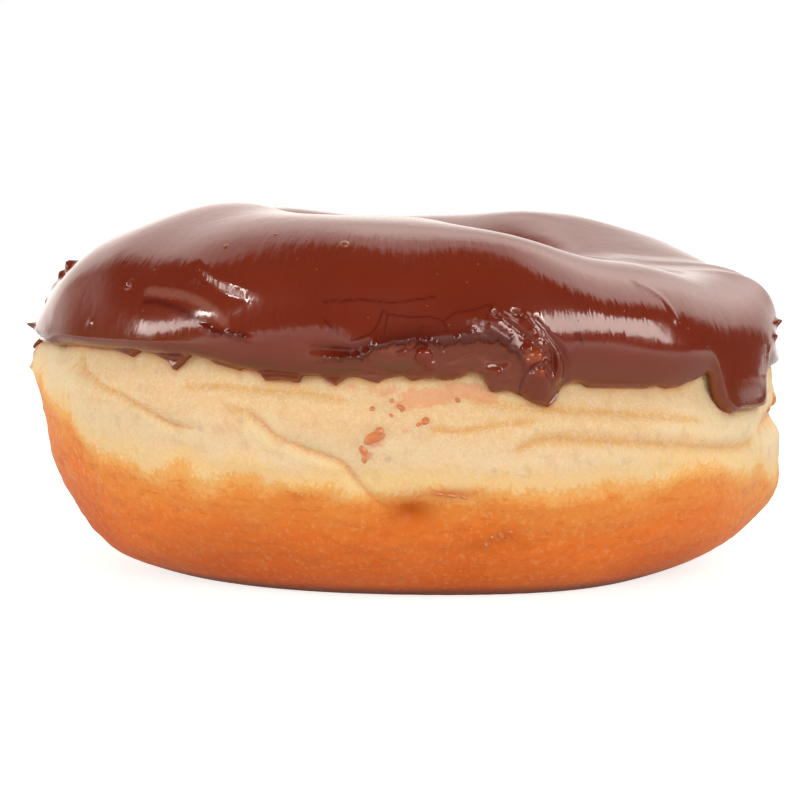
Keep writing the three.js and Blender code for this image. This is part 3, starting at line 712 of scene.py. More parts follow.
# %% The dough's skin
DOUGH_COLUMNS = 540
WALL_ROWS, COVERED_ROWS, HOLE_ROWS, BASE_ROWS = 120, 22, 34, 6
# The rows under the glaze begin this far above its edge, and those of the base on either side of its middle.
COVER_MARGIN = 1.0
BASE_ANGLE = 0.2
# Height of the line between the pale band and the crust, by azimuth and in the hole.
CRUST_LINE = [
    (-180, 21), (-170, 25), (-162, 25), (-156, 22.4), (-150, 21.6), (-143, 17.0), (-134, 16.2),
    (-124, 15.9), (-110, 15.6), (-98, 15.0), (-91, 14.5), (-85, 14.9), (-79, 15.2), (-73, 14.2),
    (-67, 13.8), (-61, 13.8), (-54, 14.5), (-47, 16.4), (-38, 16.2), (-27, 14.4), (-12, 12.8), (-4, 13.0),
    (16, 13.6), (38, 14.8), (62, 13.6), (88, 15.4), (112, 14.2), (136, 15.8), (158, 16.0), (180, 20),
]
HOLE_LINE = 17.0
# Places where chocolate was wiped on the dough, and where the dough is wet: azimuth, height, size across,
# size upward, strength.
SMEARS = [
    (-86.5, 25.6, 5.2, 1.5, 0.7), (-82.0, 26.2, 3.6, 1.3, 0.75), (-78.6, 25.6, 2.4, 1.4, 0.7),
    (-90.0, 24.6, 2.6, 0.8, 0.6), (-93.5, 26.2, 3.4, 1.2, 0.55), (-98.5, 26.6, 2.6, 0.9, 0.45),
    (-94.6, 20.4, 1.3, 0.9, 0.7), (-95.8, 18.9, 0.9, 0.8, 0.7), (-90.2, 21.6, 1.1, 0.8, 0.5),
    (-93.4, 22.4, 1.6, 0.8, 0.35), (-114.0, 28.4, 2.2, 0.7, 0.5), (-7.0, 21.5, 1.6, 2.2, 0.8),
    (-13.0, 20.6, 1.4, 0.9, 0.6), (0.0, 25.0, 3.0, 2.6, 0.6), (-176.0, 27.0, 2.4, 2.2, 0.8),
    (172.0, 25.5, 1.8, 1.4, 0.5),
]
WET = [
    (-89.6, 11.2, 3.0, 2.2, 1.0), (-83.2, 14.2, 4.2, 0.7, 0.7), (-74.5, 8.2, 2.6, 1.4, 0.5),
    (-78.5, 7.0, 2.0, 1.0, 0.4),
]
# Width of the stain and painted shade along the glaze's fine edge.
RIM_WIDTH = 0.6

azimuths = spread(DOUGH_COLUMNS, [(*FRONT_SIDE, 1.1)])
covered_from = angle_at_height(azimuths, around(GLAZE_EDGE, azimuths) + COVER_MARGIN)
covered_to = angle_at_height(azimuths, around(GLAZE_HOLE_EDGE, azimuths), outside=False)
base = np.full_like(azimuths, 1.5 * np.pi)
angles = np.concatenate([
    steps(covered_from, covered_to, COVERED_ROWS),
    steps(covered_to, base - BASE_ANGLE, HOLE_ROWS),
    steps(base - BASE_ANGLE, base + BASE_ANGLE, BASE_ROWS),
    steps(base + BASE_ANGLE, covered_from + 2 * np.pi, WALL_ROWS),
], axis=1)
column = azimuths[:, None] + 0 * angles
relief, fold_tint_and_shade = dough_relief(column, angles)
dough_grid = lay(column, angles, relief)
radius, height, _, _, outside = outline(column, angles)

line_azimuths, line_heights = np.array(CRUST_LINE, float).T
line = np.where(outside, np.interp(np.degrees(column), line_azimuths, line_heights), HOLE_LINE)
wander = plane_waves(31, 30, 6, 20, 0.5)
brown = line - height + wander(dough_grid[..., 0], dough_grid[..., 1], dough_grid[..., 2])
smeared = outside * brushed(SMEARS, column, height, radius)
wet = outside * brushed(WET, column, height, radius)
# Stain and painted shade along the glaze's fine edge.
edge_stain_and_shade = outside * bell(toothed_edge(column) - height, RIM_WIDTH)
dough_skin = ring_object("dough_skin", dough_grid, dict(
    brown=brown, fold_tint_and_shade=fold_tint_and_shade, smeared=smeared, wet=wet, edge_stain_and_shade=edge_stain_and_shade))

# %% [markdown]
# The glaze's grid starts at its toothed outer edge and runs over the crest into the hole. Its underside lies
# a little inside the dough, so no gap shows under the edge. Its marks say how high a point is above the edge,
# where the glaze is scraped, lumpy or matt, where shade or a reflection of the table is painted on it, and
# where it is amber or olive. The flow mark unrolls the skin: sideways it keeps its size and downhill it is
# pressed together, so a plain noise on it makes streaks that run downhill.

# %% The glaze's skin
GLAZE_COLUMNS = 805
EDGE_ROWS, TOP_ROWS, INNER_ROWS, UNDER_ROWS = 72, 28, 12, 8
# The wall ends at this share of the way from the edge up to the crest, and this far above the hole's edge.
SHOULDER, INNER_SHOULDER = 0.8, 5.0
# How much closer the rows stand towards the outer edge, and the power that does it in the hole.
EDGE_CROWDING, INNER_CROWDING = 0.3, 1.3
UNDER_DEPTH = 0.35
# Radius at which the flow mark is unrolled, and how far downhill is pressed together.
FLOW_RADIUS, DOWNHILL = 45, 0.09
# Painted shade in the corner above the film: strength, size upward, and the azimuths over which it fades in
# and out.
SHADE = dict(strength=0.85, tall=1.7, start=(-104, -98), end=(-72, -75))
# Strength of the painted shade along the cracks and the furrow.
CRACK_SHADE = 0.8

azimuths = spread(GLAZE_COLUMNS, [(*FRONT_SIDE, 1.8), (*TOUCHED, 2.9)])
hole_edge = around(GLAZE_HOLE_EDGE, azimuths)
fine_edge = toothed_edge(azimuths)
even_edge = around(GLAZE_EDGE, azimuths)
top_edge = even_edge + SHOULDER * (around(CREST_HEIGHT, azimuths) - even_edge)
share = np.arange(EDGE_ROWS) / EDGE_ROWS
share = (1 - EDGE_CROWDING) * share + EDGE_CROWDING * share**5
outer_heights = fine_edge[:, None] + (top_edge - fine_edge)[:, None] * share
outer_angles = angle_at_height(azimuths[:, None], outer_heights)
inner_share = np.linspace(1, 0, INNER_ROWS) ** INNER_CROWDING
inner_heights = hole_edge[:, None] + INNER_SHOULDER * inner_share
inner_angles = angle_at_height(azimuths[:, None], inner_heights, outside=False)
shoulder = angle_at_height(azimuths, top_edge)
angles = np.concatenate([outer_angles, steps(shoulder, inner_angles[:, 0], TOP_ROWS), inner_angles], axis=1)
column = azimuths[:, None] + 0 * angles
radius, height, _, _, outside = outline(column, angles)
rise = np.maximum(0, np.where(outside, height - fine_edge[:, None], height - hole_edge[:, None]))
lift, scraped, lumpy = glaze_lift(column, angles, rise)
relief, _ = dough_relief(column, angles, fine=False)
face = lay(column, angles, relief + lift)

under_angles = steps(inner_angles[:, -1], outer_angles[:, 0], UNDER_ROWS)[:, 1:]
under_column = azimuths[:, None] + 0 * under_angles
relief, _ = dough_relief(under_column, under_angles, fine=False)
under = lay(under_column, under_angles, relief - UNDER_DEPTH)

# %% The glaze's marks
_, top = film_mask(column, height)
degrees = np.degrees(column)
# Painted shade: darker in the corner above the film and along the cracks and the furrow.
painted_shade = SHADE["strength"] * (1 - scraped) * bell(height - top, SHADE["tall"])
painted_shade = painted_shade * smoothstep(*SHADE["start"], degrees) * smoothstep(*SHADE["end"], degrees)
for path, width in [(path, CRACK_WIDTH) for path in CRACKS] + [FURROW]:
    distance, _, _ = near_path(path, column, height, radius)
    painted_shade = np.maximum(painted_shade, CRACK_SHADE * bell(distance, width))
painted_shade = painted_shade * outside
# Painted reflection of the table along the band under the bright step.
path, width = TABLE_REFLECTION
distance, _, share = near_path(path, column, height, radius)
table_reflection = outside * bell(distance, width) * faded(share, TABLE_REFLECTION_FADE)
amber, olive, matte = (outside * brushed(places, column, height, radius) for places in (AMBER, OLIVE, MATTE))
length = np.linalg.norm(np.diff(face, axis=1), axis=2).cumsum(1)
length = np.concatenate([np.zeros((len(azimuths), 1)), length], axis=1)
flow = np.stack([FLOW_RADIUS * np.cos(column), FLOW_RADIUS * np.sin(column), DOWNHILL * length], -1)


def with_under(values):
    """The marks of the face, with zeros added for the hidden underside."""
    return np.concatenate([values, np.zeros(under.shape[:2] + values.shape[2:])], axis=1)


marks = dict(rise=rise, scraped=scraped, lumpy=lumpy, matte=matte, painted_shade=painted_shade, table_reflection=table_reflection, amber=amber,
             olive=olive, flow=flow)
marks = {label: with_under(values) for label, values in marks.items()}
glaze_skin = ring_object("glaze_skin", np.concatenate([face, under], axis=1), marks)

# %% [markdown]
# ## Drops and strands
# Small drops of chocolate sit on the pale dough and in its dent, and threads of glaze stand off its crest.
# Each is a closed tube laid along a short path on the surface: it swells from nothing to its full width and
# back, and its lower half is sunk in what it lies on.

# %% Build drops and strands
# Radius at which distances sideways along the wall are measured.
WALL_RADIUS = 47


def tube(path, width, height, base_lift, sides=14, rings=22):
    """Rings round a path of (azimuth, height) pairs. Across the path a ring is width * cos, along the
    outline's normal height * sin, both times sqrt(1 - t^2) with t from -1 to 1 along the path."""
    path = np.array(path, float)
    t = np.cos(np.linspace(np.pi, 0, rings))
    along = np.linspace(0, 1, len(path))
    az = np.interp((t + 1) / 2, along, path[:, 0])
    z = np.interp((t + 1) / 2, along, path[:, 1])
    dx, dz = np.gradient(np.radians(az) * WALL_RADIUS, t), np.gradient(z, t)
    length = np.hypot(dx, dz)
    swell = np.sqrt(np.maximum(0, 1 - t**2))[:, None]
    ring = 2 * np.pi * np.arange(sides) / sides
    side = width * swell * np.cos(ring)
    lift = height * swell * np.sin(ring)
    azimuth = np.radians(az)[:, None] - (dz / length)[:, None] * side / WALL_RADIUS
    z = z[:, None] + (dx / length)[:, None] * side
    angle = angle_at_height(azimuth, z)
    return lay(azimuth, angle, base_lift(azimuth, angle, z) + lift)


def on_dough(azimuth, angle, z):
    """The dough's relief."""
    return dough_relief(azimuth, angle)[0]


def on_glaze(azimuth, angle, z):
    """The relief of the glaze's face."""
    rise = np.maximum(0, z - toothed_edge(azimuth))
    return dough_relief(azimuth, angle, fine=False)[0] + glaze_lift(azimuth, angle, rise)[0]


def tubes_object(name, grids):
    """One object of closed tubes. The first and last rings, which have no width, each become one point that
    closes the tube with a fan of triangles."""
    points, faces, count = [], [], 0
    for grid in grids:
        rings, sides = grid.shape[:2]
        middle = grid[1:-1].reshape(-1, 3)
        j = np.arange(sides)
        j1 = (j + 1) % sides
        r = sides * np.arange(rings - 3)[:, None]
        quads = np.stack([r + j, r + j1, r + sides + j1, r + sides + j], -1).reshape(-1, 4)
        first, last = len(middle), len(middle) + 1
        end = sides * (rings - 3)
        fans = [[first, int(b), int(a)] for a, b in zip(j, j1)]
        fans += [[last, int(end + a), int(end + b)] for a, b in zip(j, j1)]
        points += [middle, grid[:1, 0], grid[-1:, 0]]
        faces += (quads + count).tolist() + (np.array(fans) + count).tolist()
        count += len(middle) + 2
    mesh = bpy.data.meshes.new(name)
    mesh.from_pydata((np.concatenate(points) / 1000).tolist(), [], faces)
    mesh.shade_smooth()
    mesh.validate()
    obj = bpy.data.objects.new(name, mesh)
    bpy.context.scene.collection.objects.link(obj)
    print(name, "pieces:", len(grids), "faces:", len(mesh.polygons))
    return obj


# Drops and threads: path of (azimuth, height), width and height.
DROPS = [
    ([(-96.2, 20.3), (-95.2, 20.9), (-94.2, 21.2), (-93.2, 21.3)], 0.62, 0.42),
    ([(-94.6, 21.9), (-93.4, 21.6)], 0.45, 0.5),
    ([(-96.9, 20.0), (-96.3, 19.4), (-96.0, 18.9)], 0.42, 0.32),
    ([(-96.4, 18.7), (-96.2, 17.9)], 0.3, 0.25),
    ([(-88.0, 22.6), (-87.4, 22.9), (-86.9, 22.8)], 0.40, 0.5),
    ([(-88.8, 22.4), (-88.1, 22.5)], 0.22, 0.3), ([(-95.5, 24.3), (-94.7, 24.3)], 0.24, 0.4),
    ([(-92.6, 25.3), (-92.0, 25.0)], 0.22, 0.3), ([(-91.6, 24.6), (-90.4, 24.2)], 0.26, 0.35),
    ([(-91.0, 23.9), (-90.6, 24.3)], 0.18, 0.3), ([(-92.6, 23.7), (-92.1, 23.4)], 0.18, 0.3),
    ([(-83.0, 25.2), (-82.2, 25.0)], 0.26, 0.25), ([(-86.0, 14.3), (-84.6, 14.1)], 0.25, 0.3),
    ([(-84.3, 14.2), (-82.6, 13.8)], 0.22, 0.3), ([(-82.2, 14.0), (-81.0, 13.6)], 0.20, 0.25),
    ([(-75.6, 9.0), (-74.6, 8.2)], 0.30, 0.25), ([(-77.6, 7.6), (-76.8, 7.0)], 0.30, 0.25),
    ([(-74.0, 9.2), (-73.2, 9.0)], 0.22, 0.25), ([(-76.8, 8.6), (-76.2, 8.2)], 0.20, 0.2),
    ([(-6.6, 22.6), (-6.2, 20.6)], 0.5, 0.4), ([(-12.0, 20.9), (-11.4, 20.2)], 0.3, 0.3),
]
STRANDS = [
    ([(-101.0, 43.3), (-99.4, 43.3)], 0.42, 0.34), ([(-121.0, 42.9), (-120.0, 42.9)], 0.25, 0.16),
    ([(-113.4, 44.5), (-112.6, 44.5)], 0.16, 0.12),
]
drops = tubes_object("drops", [tube(path, w, h, on_dough) for path, w, h in DROPS])
strands = tubes_object("strands", [tube(path, w, h, on_glaze) for path, w, h in STRANDS])

# %% [markdown]
# ## Helpers for materials
# A material is a small program made of nodes. These helpers add a node, set its inputs from values or from
# other nodes, and wrap an effect that several materials share in a node group with named inputs and outputs.

# %% Helpers for materials
def feed(tree, socket, value):
    """Links an output to a socket, or sets the socket to a constant."""
    if isinstance(value, bpy.types.NodeSocket):
        tree.links.new(value, socket)
    else:
        socket.default_value = value


def add(tree, kind, inputs=None, **settings):
    """A node of this kind, with settings as attributes and inputs by name or number."""
    node = tree.nodes.new("ShaderNode" + kind)
    for key, value in settings.items():
        setattr(node, key, value)
    for key, value in (inputs or {}).items():
        feed(tree, node.inputs[key], value)
    return node


def maths(tree, operation, a, b=0.0):
    """The output of a Math node."""
    return add(tree, "Math", {0: a, 1: b}, operation=operation).outputs[0]


def times(tree, a, b):
    """The product of two values."""
    return maths(tree, "MULTIPLY", a, b)


def plus(tree, a, b):
    """The sum of two values."""
    return maths(tree, "ADD", a, b)


def swing(tree, value, amount):
    """A value from 0 to 1 made to swing about 0, times an amount."""
    return times(tree, maths(tree, "SUBTRACT", value, 0.5), amount)


def ranged(tree, value, low, high, to_low=0.0, to_high=1.0, smooth=True):
    """The output of a Map Range node that takes low..high to to_low..to_high and holds it there."""
    kind = "SMOOTHSTEP" if smooth else "LINEAR"
    node = add(tree, "MapRange", {"Value": value, "From Min": low, "From Max": high, "To Min": to_low,
                                  "To Max": to_high}, interpolation_type=kind)
    return node.outputs[0]


def mixed(tree, factor, a, b):
    """The colour a turned into b by factor."""
    node = add(tree, "Mix", {"Factor": factor}, data_type="RGBA")
    for key, value in ((6, a), (7, b)):
        feed(tree, node.inputs[key], value if isinstance(value, bpy.types.NodeSocket) else (*value, 1))
    return node.outputs[2]


def over(tree, colour, tint, mask, within=None):
    """The colour under a tint of (colour, strength), which shows where its mask is 1 and, where a second
    mask is given, only within that one."""
    paint, strength = tint
    share = times(tree, mask, strength if within is None else times(tree, within, strength))
    return mixed(tree, share, colour, paint)


def noise(tree, position, scale, detail=2.0, roughness=0.5, distortion=0.0):
    """The value of a Noise texture from 0 to 1."""
    return add(tree, "TexNoise", {"Vector": position, "Scale": scale, "Detail": detail,
                                  "Roughness": roughness, "Distortion": distortion}).outputs[0]


def new_group(name, inputs, outputs):
    """An empty node group with named sockets, given as (name, kind)."""
    group = bpy.data.node_groups.new(name, "ShaderNodeTree")
    for label, kind in inputs:
        group.interface.new_socket(label, in_out="INPUT", socket_type="NodeSocket" + kind)
    for label, kind in outputs:
        group.interface.new_socket(label, in_out="OUTPUT", socket_type="NodeSocket" + kind)
    return group, group.nodes.new("NodeGroupInput").outputs, group.nodes.new("NodeGroupOutput").inputs


def use(tree, group, inputs):
    """A group node in a tree."""
    node = tree.nodes.new("ShaderNodeGroup")
    node.node_tree = group
    for key, value in inputs.items():
        feed(tree, node.inputs[key], value)
    return node.outputs


def mark(tree, label):
    """The value of one of a piece's marks."""
    return add(tree, "Attribute", attribute_name=label).outputs["Fac"]


def new_material(name):
    """A material with only a Principled shader, its tree and that shader."""
    material = bpy.data.materials.new(name)
    material.use_nodes = True
    tree = material.node_tree
    tree.nodes.clear()
    shader = add(tree, "BsdfPrincipled")
    output = add(tree, "OutputMaterial")
    tree.links.new(shader.outputs[0], output.inputs["Surface"])
    return material, tree, shader


def link(tree, shader, **inputs):
    """Sets sockets of the shader, with underscores for the spaces of their names."""
    for key, value in inputs.items():
        feed(tree, shader.inputs[key.replace("_", " ")], value)


def millimetres(tree):
    """The object's own coordinates in millimetres."""
    where = add(tree, "TexCoord").outputs["Object"]
    return add(tree, "VectorMath", {0: where, 3: 1000.0}, operation="SCALE").outputs[0]


def flecks_group():
    """Sparse small spots: cells of a Voronoi texture, of which a share given by Amount holds a round
    spot of a radius given in cells."""
    inputs = [("Position", "Vector"), ("Per mm", "Float"), ("Amount", "Float"), ("Radius", "Float")]
    group, given, result = new_group("flecks", inputs, [("Mask", "Float")])
    cells = add(group, "TexVoronoi", {"Vector": given["Position"], "Scale": given["Per mm"],
                                      "Randomness": 1.0})
    shade = add(group, "SeparateColor", {0: cells.outputs["Color"]}).outputs[0]
    chosen = maths(group, "LESS_THAN", shade, given["Amount"])
    spot = ranged(group, cells.outputs["Distance"], given["Radius"], times(group, given["Radius"], 0.5))
    group.links.new(times(group, chosen, spot), result["Mask"])
    return group


flecks = flecks_group()
print("groups:", [group.name for group in bpy.data.node_groups])

# %% [markdown]
# ## The dough
# The band is cream coloured and a little translucent, with fine fibres and small closed bubbles under its
# skin. Below the line it turns golden, orange and then brown, more so in blotches, with tiny pale specks
# where the skin blistered. Folds are golden, partly their own colour and partly painted shade, and the skin
# is much darker brown in its last few millimetres above the table. Along the glaze's edge it is orange,
# partly stained by thin chocolate and partly painted shade under the edge. It is stained where chocolate was
# wiped, and wet places shine.

# %% The dough's colours
# Colours from the band down to the crust, as (share of the way, colour), and the depths in mm below the line
# between which they lie.
CRUST_COLOURS = [
    (0.0, (0.86, 0.61, 0.33)), (0.17, (0.91, 0.70, 0.42)), (0.29, (0.93, 0.66, 0.31)),
    (0.35, (0.90, 0.47, 0.14)), (0.42, (0.86, 0.31, 0.060)), (0.66, (0.87, 0.22, 0.030)),
    (1.0, (0.73, 0.130, 0.010)),
]
COLOUR_DEPTHS = (-8.0, 16.0)
# Depths between which the band's mask falls to 0 and the crust's mask rises to 1.
BAND_DEPTHS = (0.5, -3.0)
CRUST_DEPTHS = (-0.5, 3.0)
# Tints over them, as (colour, strength).
# The golden tint of the folds is partly their own colour and partly painted shade.
GOLDEN_FOLD_AND_SHADE = ((0.82, 0.46, 0.13), 0.8)
PALE_FIBRE = ((0.97, 0.83, 0.64), 0.42)
BEIGE_PATCH = ((0.72, 0.48, 0.24), 0.30)
GREY_BUBBLE = ((0.72, 0.50, 0.35), 0.45)
BROWN_SCUFF = ((0.66, 0.15, 0.020), 0.45)
# Dark brown towards the table.
BOTTOM_BROWN = ((0.16, 0.035, 0.012), 0.8)
WET_AMBER = ((0.66, 0.14, 0.008), 0.9)
# Orange along the glaze's edge: partly a stain of thin chocolate, partly painted shade under the edge.
EDGE_STAIN_AND_SHADE = ((0.80, 0.32, 0.10), 0.55)
# Colours of blisters and mottles in the crust, and of the wiped chocolate where it is dark and pale.
BLISTER = (0.96, 0.56, 0.22)
SMEAR_DARK, SMEAR_PALE = (0.80, 0.20, 0.06), (0.90, 0.52, 0.32)
print("colours from band to crust:", len(CRUST_COLOURS))

# %% The dough's material
def ramp(tree, value, stops):
    """A colour ramp with stops of (position, colour)."""
    node = add(tree, "ValToRGB", {0: value})
    node.color_ramp.interpolation = "EASE"
    while len(node.color_ramp.elements) < len(stops):
        node.color_ramp.elements.new(0.5)
    for element, (position, colour) in zip(node.color_ramp.elements, stops):
        element.position = position
        element.color = (*colour, 1)
    return node.outputs[0]


def fibre_web(tree, at):
    """Crossing fibres, from 0 between them to 1 on them: a coarse and a fine noise, each 1 where the noise
    passes its middle and falling smoothly to 0 at a tenth above and below it, which draws thin lines."""
    lines = []
    for scale, distortion in ((0.9, 0.8), (2.2, 0.5)):
        web = noise(tree, at, scale, 3, 0.6, distortion)
        off = maths(tree, "ABSOLUTE", maths(tree, "SUBTRACT", web, 0.5))
        lines.append(ranged(tree, off, 0.10, 0.0))
    return plus(tree, times(tree, lines[0], 0.45), times(tree, lines[1], 0.55))


def dough_material():
    """Fried dough: colour by the height below the crust's line, with bumps of fibres and grains."""
    material, tree, shader = new_material("fried_dough")
    at = millimetres(tree)
    brown, fold_tint_and_shade, smeared = (mark(tree, label) for label in ("brown", "fold_tint_and_shade", "smeared"))
    wet, edge_stain_and_shade = (mark(tree, label) for label in ("wet", "edge_stain_and_shade"))

    blotches = noise(tree, at, 0.20, 5, 0.62, 0.3)
    grain = noise(tree, at, 2.0, 5, 0.7)
    patch = swing(tree, blotches, 4.5)
    speckle = swing(tree, grain, 4.5)
    depth = plus(tree, brown, plus(tree, patch, speckle))
    colour = ramp(tree, ranged(tree, depth, *COLOUR_DEPTHS, smooth=False), CRUST_COLOURS)
    band = ranged(tree, depth, *BAND_DEPTHS)
    crust = ranged(tree, depth, *CRUST_DEPTHS)

    web = fibre_web(tree, at)
    beige = ranged(tree, noise(tree, at, 0.45, 4, 0.6, 0.5), 0.52, 0.66)
    bubbles = use(tree, flecks, {"Position": at, "Per mm": 0.40, "Amount": 0.16, "Radius": 0.24})["Mask"]
    # Golden tint of the folds, partly their own colour and partly painted shade.
    colour = over(tree, colour, GOLDEN_FOLD_AND_SHADE, fold_tint_and_shade, within=band)
    colour = over(tree, colour, PALE_FIBRE, ranged(tree, web, 0.35, 0.9), within=band)
    colour = over(tree, colour, BEIGE_PATCH, beige, within=band)
    colour = over(tree, colour, GREY_BUBBLE, bubbles, within=band)

    stretched = add(tree, "Mapping", {"Vector": at, "Scale": (0.35, 0.35, 1.2)}).outputs[0]
    scuffs = noise(tree, stretched, 1.0, 5, 0.65, 0.4)
    blisters = use(tree, flecks, {"Position": at, "Per mm": 1.7, "Amount": 0.30, "Radius": 0.26})["Mask"]
    mottles = ranged(tree, noise(tree, at, 1.3, 5, 0.7), 0.50, 0.68)
    pale = plus(tree, times(tree, blisters, 0.30), times(tree, mottles, 0.34))
    low = plus(tree, add(tree, "SeparateXYZ", {0: at}).outputs["Z"], times(tree, grain, 1.2))
    colour = over(tree, colour, BROWN_SCUFF, ranged(tree, scuffs, 0.50, 0.66), within=crust)
    colour = mixed(tree, times(tree, pale, crust), colour, BLISTER)
    # Much darker brown in the last few millimetres above the table.
    colour = over(tree, colour, BOTTOM_BROWN, ranged(tree, low, 2.6, 0.7))

    ragged = plus(tree, smeared, swing(tree, noise(tree, at, 1.1, 5, 0.7), 0.9))
    smear = ranged(tree, ragged, 0.32, 0.52)
    stain = mixed(tree, noise(tree, at, 0.9, 4, 0.6), SMEAR_DARK, SMEAR_PALE)
    colour = over(tree, colour, (stain, 0.62), smear)
    colour = over(tree, colour, WET_AMBER, wet)
    # Orange along the glaze's edge: partly a stain of thin chocolate, partly painted shade under the edge.
    colour = over(tree, colour, EDGE_STAIN_AND_SHADE, edge_stain_and_shade)

    shine = maths(tree, "MAXIMUM", wet, times(tree, smear, 0.6))
    rough = maths(tree, "SUBTRACT", ranged(tree, crust, 0.0, 1.0, 0.56, 0.42), times(tree, shine, 0.3))
    fibres = times(tree, web, times(tree, band, 0.45))
    height = plus(tree, fibres, times(tree, grain, 0.25))
    height = plus(tree, height, times(tree, blisters, times(tree, crust, 0.15)))
    bump = add(tree, "Bump", {"Height": height, "Strength": 0.45, "Distance": 0.0006})
    link(tree, shader, Base_Color=colour, Roughness=rough, Normal=bump.outputs[0], Subsurface_Weight=0.6,
         Subsurface_Radius=(0.0050, 0.0024, 0.0010), Subsurface_Scale=1.0, IOR=1.4, Specular_IOR_Level=0.22)
    return material


fried_dough = dough_material()
print("dough material nodes:", len(fried_dough.node_tree.nodes))

# %% [markdown]
# ## The glaze
# Chocolate glaze is dark red-brown and glossy. Where it thins out at its edge the light comes through and it
# turns orange-brown. Streaks from its flow blur what it mirrors, tiny specks of sugar sit in it, and the skin
# is rougher where it is matt.

# %% The glaze's colours
# The two colours that it drifts between, and the tints over them as (colour, strength).
GLAZE_DARK, GLAZE_RED = (0.155, 0.0175, 0.0060), (0.205, 0.029, 0.0105)
THIN_EDGE = ((0.36, 0.10, 0.025), 0.7)
SCRAPED_FILM = ((0.20, 0.045, 0.018), 0.35)
RED_LUMP = ((0.20, 0.018, 0.004), 0.7)
OLIVE_FILM = ((0.125, 0.046, 0.008), 0.8)
AMBER_FILM = ((0.42, 0.080, 0.016), 0.6)
SUGAR_SPECK = ((0.42, 0.12, 0.03), 0.6)
# Colours near the edge, of the painted shade, and of the painted reflection of the table on the band under
# the bright step.
NEAR_EDGE = (0.17, 0.045, 0.016)
DEEP_SHADE = (0.080, 0.0065, 0.0028)
TABLE_REFLECTION_COLOUR = (0.25, 0.078, 0.052)
print("glaze, dark and red:", GLAZE_DARK, GLAZE_RED)

# %% The glaze's material
def streaked_group():
    """A normal tilted up or down from streak to streak: the surface's normal plus an amount times the
    streaks, from -1/2 to 1/2, times the upward direction, made one long. It feathers the reflections."""
    inputs = [("Flow", "Vector"), ("Per mm", "Float"), ("Amount", "Float")]
    group, given, result = new_group("streaked normal", inputs, [("Normal", "Vector"), ("Streaks", "Float")])
    streaks = noise(group, given["Flow"], given["Per mm"], 3, 0.6)
    up = add(group, "CombineXYZ", {2: swing(group, streaks, given["Amount"])}).outputs[0]
    normal = add(group, "NewGeometry").outputs["Normal"]
    tilted = add(group, "VectorMath", {0: normal, 1: up}, operation="ADD").outputs[0]
    group.links.new(add(group, "VectorMath", {0: tilted}, operation="NORMALIZE").outputs[0], result["Normal"])
    group.links.new(streaks, result["Streaks"])
    return group


streaked = streaked_group()


def glaze_material():
    """Chocolate glaze: dark gloss over a slightly translucent body, paler where it is thin or torn."""
    material, tree, shader = new_material("chocolate_glaze")
    at = millimetres(tree)
    rise, scraped, lumpy, matte = (mark(tree, label) for label in ("rise", "scraped", "lumpy", "matte"))
    painted_shade, table_reflection, amber, olive = (mark(tree, label) for label in ("painted_shade", "table_reflection", "amber", "olive"))
    flow = add(tree, "Attribute", attribute_name="flow").outputs["Vector"]

    torn = plus(tree, 0.5, noise(tree, at, 1.4, 4, 0.6))
    matte, table_reflection, amber, olive = (times(tree, place, torn) for place in (matte, table_reflection, amber, olive))
    thin = ranged(tree, plus(tree, rise, times(tree, noise(tree, at, 0.9, 3), 0.6)), 1.2, 0.3)
    specks = use(tree, flecks, {"Position": at, "Per mm": 0.85, "Amount": 0.22, "Radius": 0.10})["Mask"]
    colour = mixed(tree, noise(tree, at, 0.12, 3, 0.5), GLAZE_DARK, GLAZE_RED)
    colour = over(tree, colour, THIN_EDGE, thin)
    colour = mixed(tree, ranged(tree, rise, 4.5, 1.5, 0.0, 0.5), colour, NEAR_EDGE)
    colour = over(tree, colour, SCRAPED_FILM, scraped)
    colour = over(tree, colour, RED_LUMP, ranged(tree, lumpy, 0.05, 0.30), within=scraped)
    colour = over(tree, colour, OLIVE_FILM, ranged(tree, olive, 0.3, 0.8))
    colour = over(tree, colour, AMBER_FILM, ranged(tree, amber, 0.35, 0.9))
    # Painted shade in the corner above the film and in the cracks and the furrow.
    colour = mixed(tree, painted_shade, colour, DEEP_SHADE)
    # Painted reflection of the table on the band under the bright step.
    colour = mixed(tree, ranged(tree, table_reflection, 0.25, 0.95), colour, TABLE_REFLECTION_COLOUR)
    colour = over(tree, colour, SUGAR_SPECK, specks)

    combed = ranged(tree, rise, 5.0, 10.0, 0.10, 0.36)
    tilted = use(tree, streaked, {"Flow": flow, "Per mm": 3.2, "Amount": combed})
    ripples = noise(tree, at, 0.5, 2, 0.5)
    height = plus(tree, times(tree, ripples, 0.12), times(tree, specks, 0.12))
    bump = add(tree, "Bump", {"Height": height, "Strength": 0.5, "Distance": 0.0006,
                              "Normal": tilted["Normal"]})
    rough = ranged(tree, tilted["Streaks"], 0.3, 0.7, 0.10, 0.18)
    rough = maths(tree, "SUBTRACT", rough, times(tree, scraped, 0.04))
    rough = plus(tree, rough, times(tree, ranged(tree, matte, 0.3, 0.6), 0.22))
    link(tree, shader, Base_Color=colour, Roughness=rough, Normal=bump.outputs[0], IOR=1.5,
         Subsurface_Weight=0.12, Subsurface_Radius=(0.0012, 0.0003, 0.0001), Subsurface_Scale=1.0)
    return material


chocolate_glaze = glaze_material()
print("glaze material nodes:", len(chocolate_glaze.node_tree.nodes))

# %% [markdown]
# The small drops on the dough are the same chocolate, so thin that light shines through and turns it
# orange-brown. They are wet, so they are smoother than the dough.

# %% The drops' material
DROP_DARK, DROP_PALE = (0.66, 0.13, 0.025), (0.86, 0.36, 0.15)


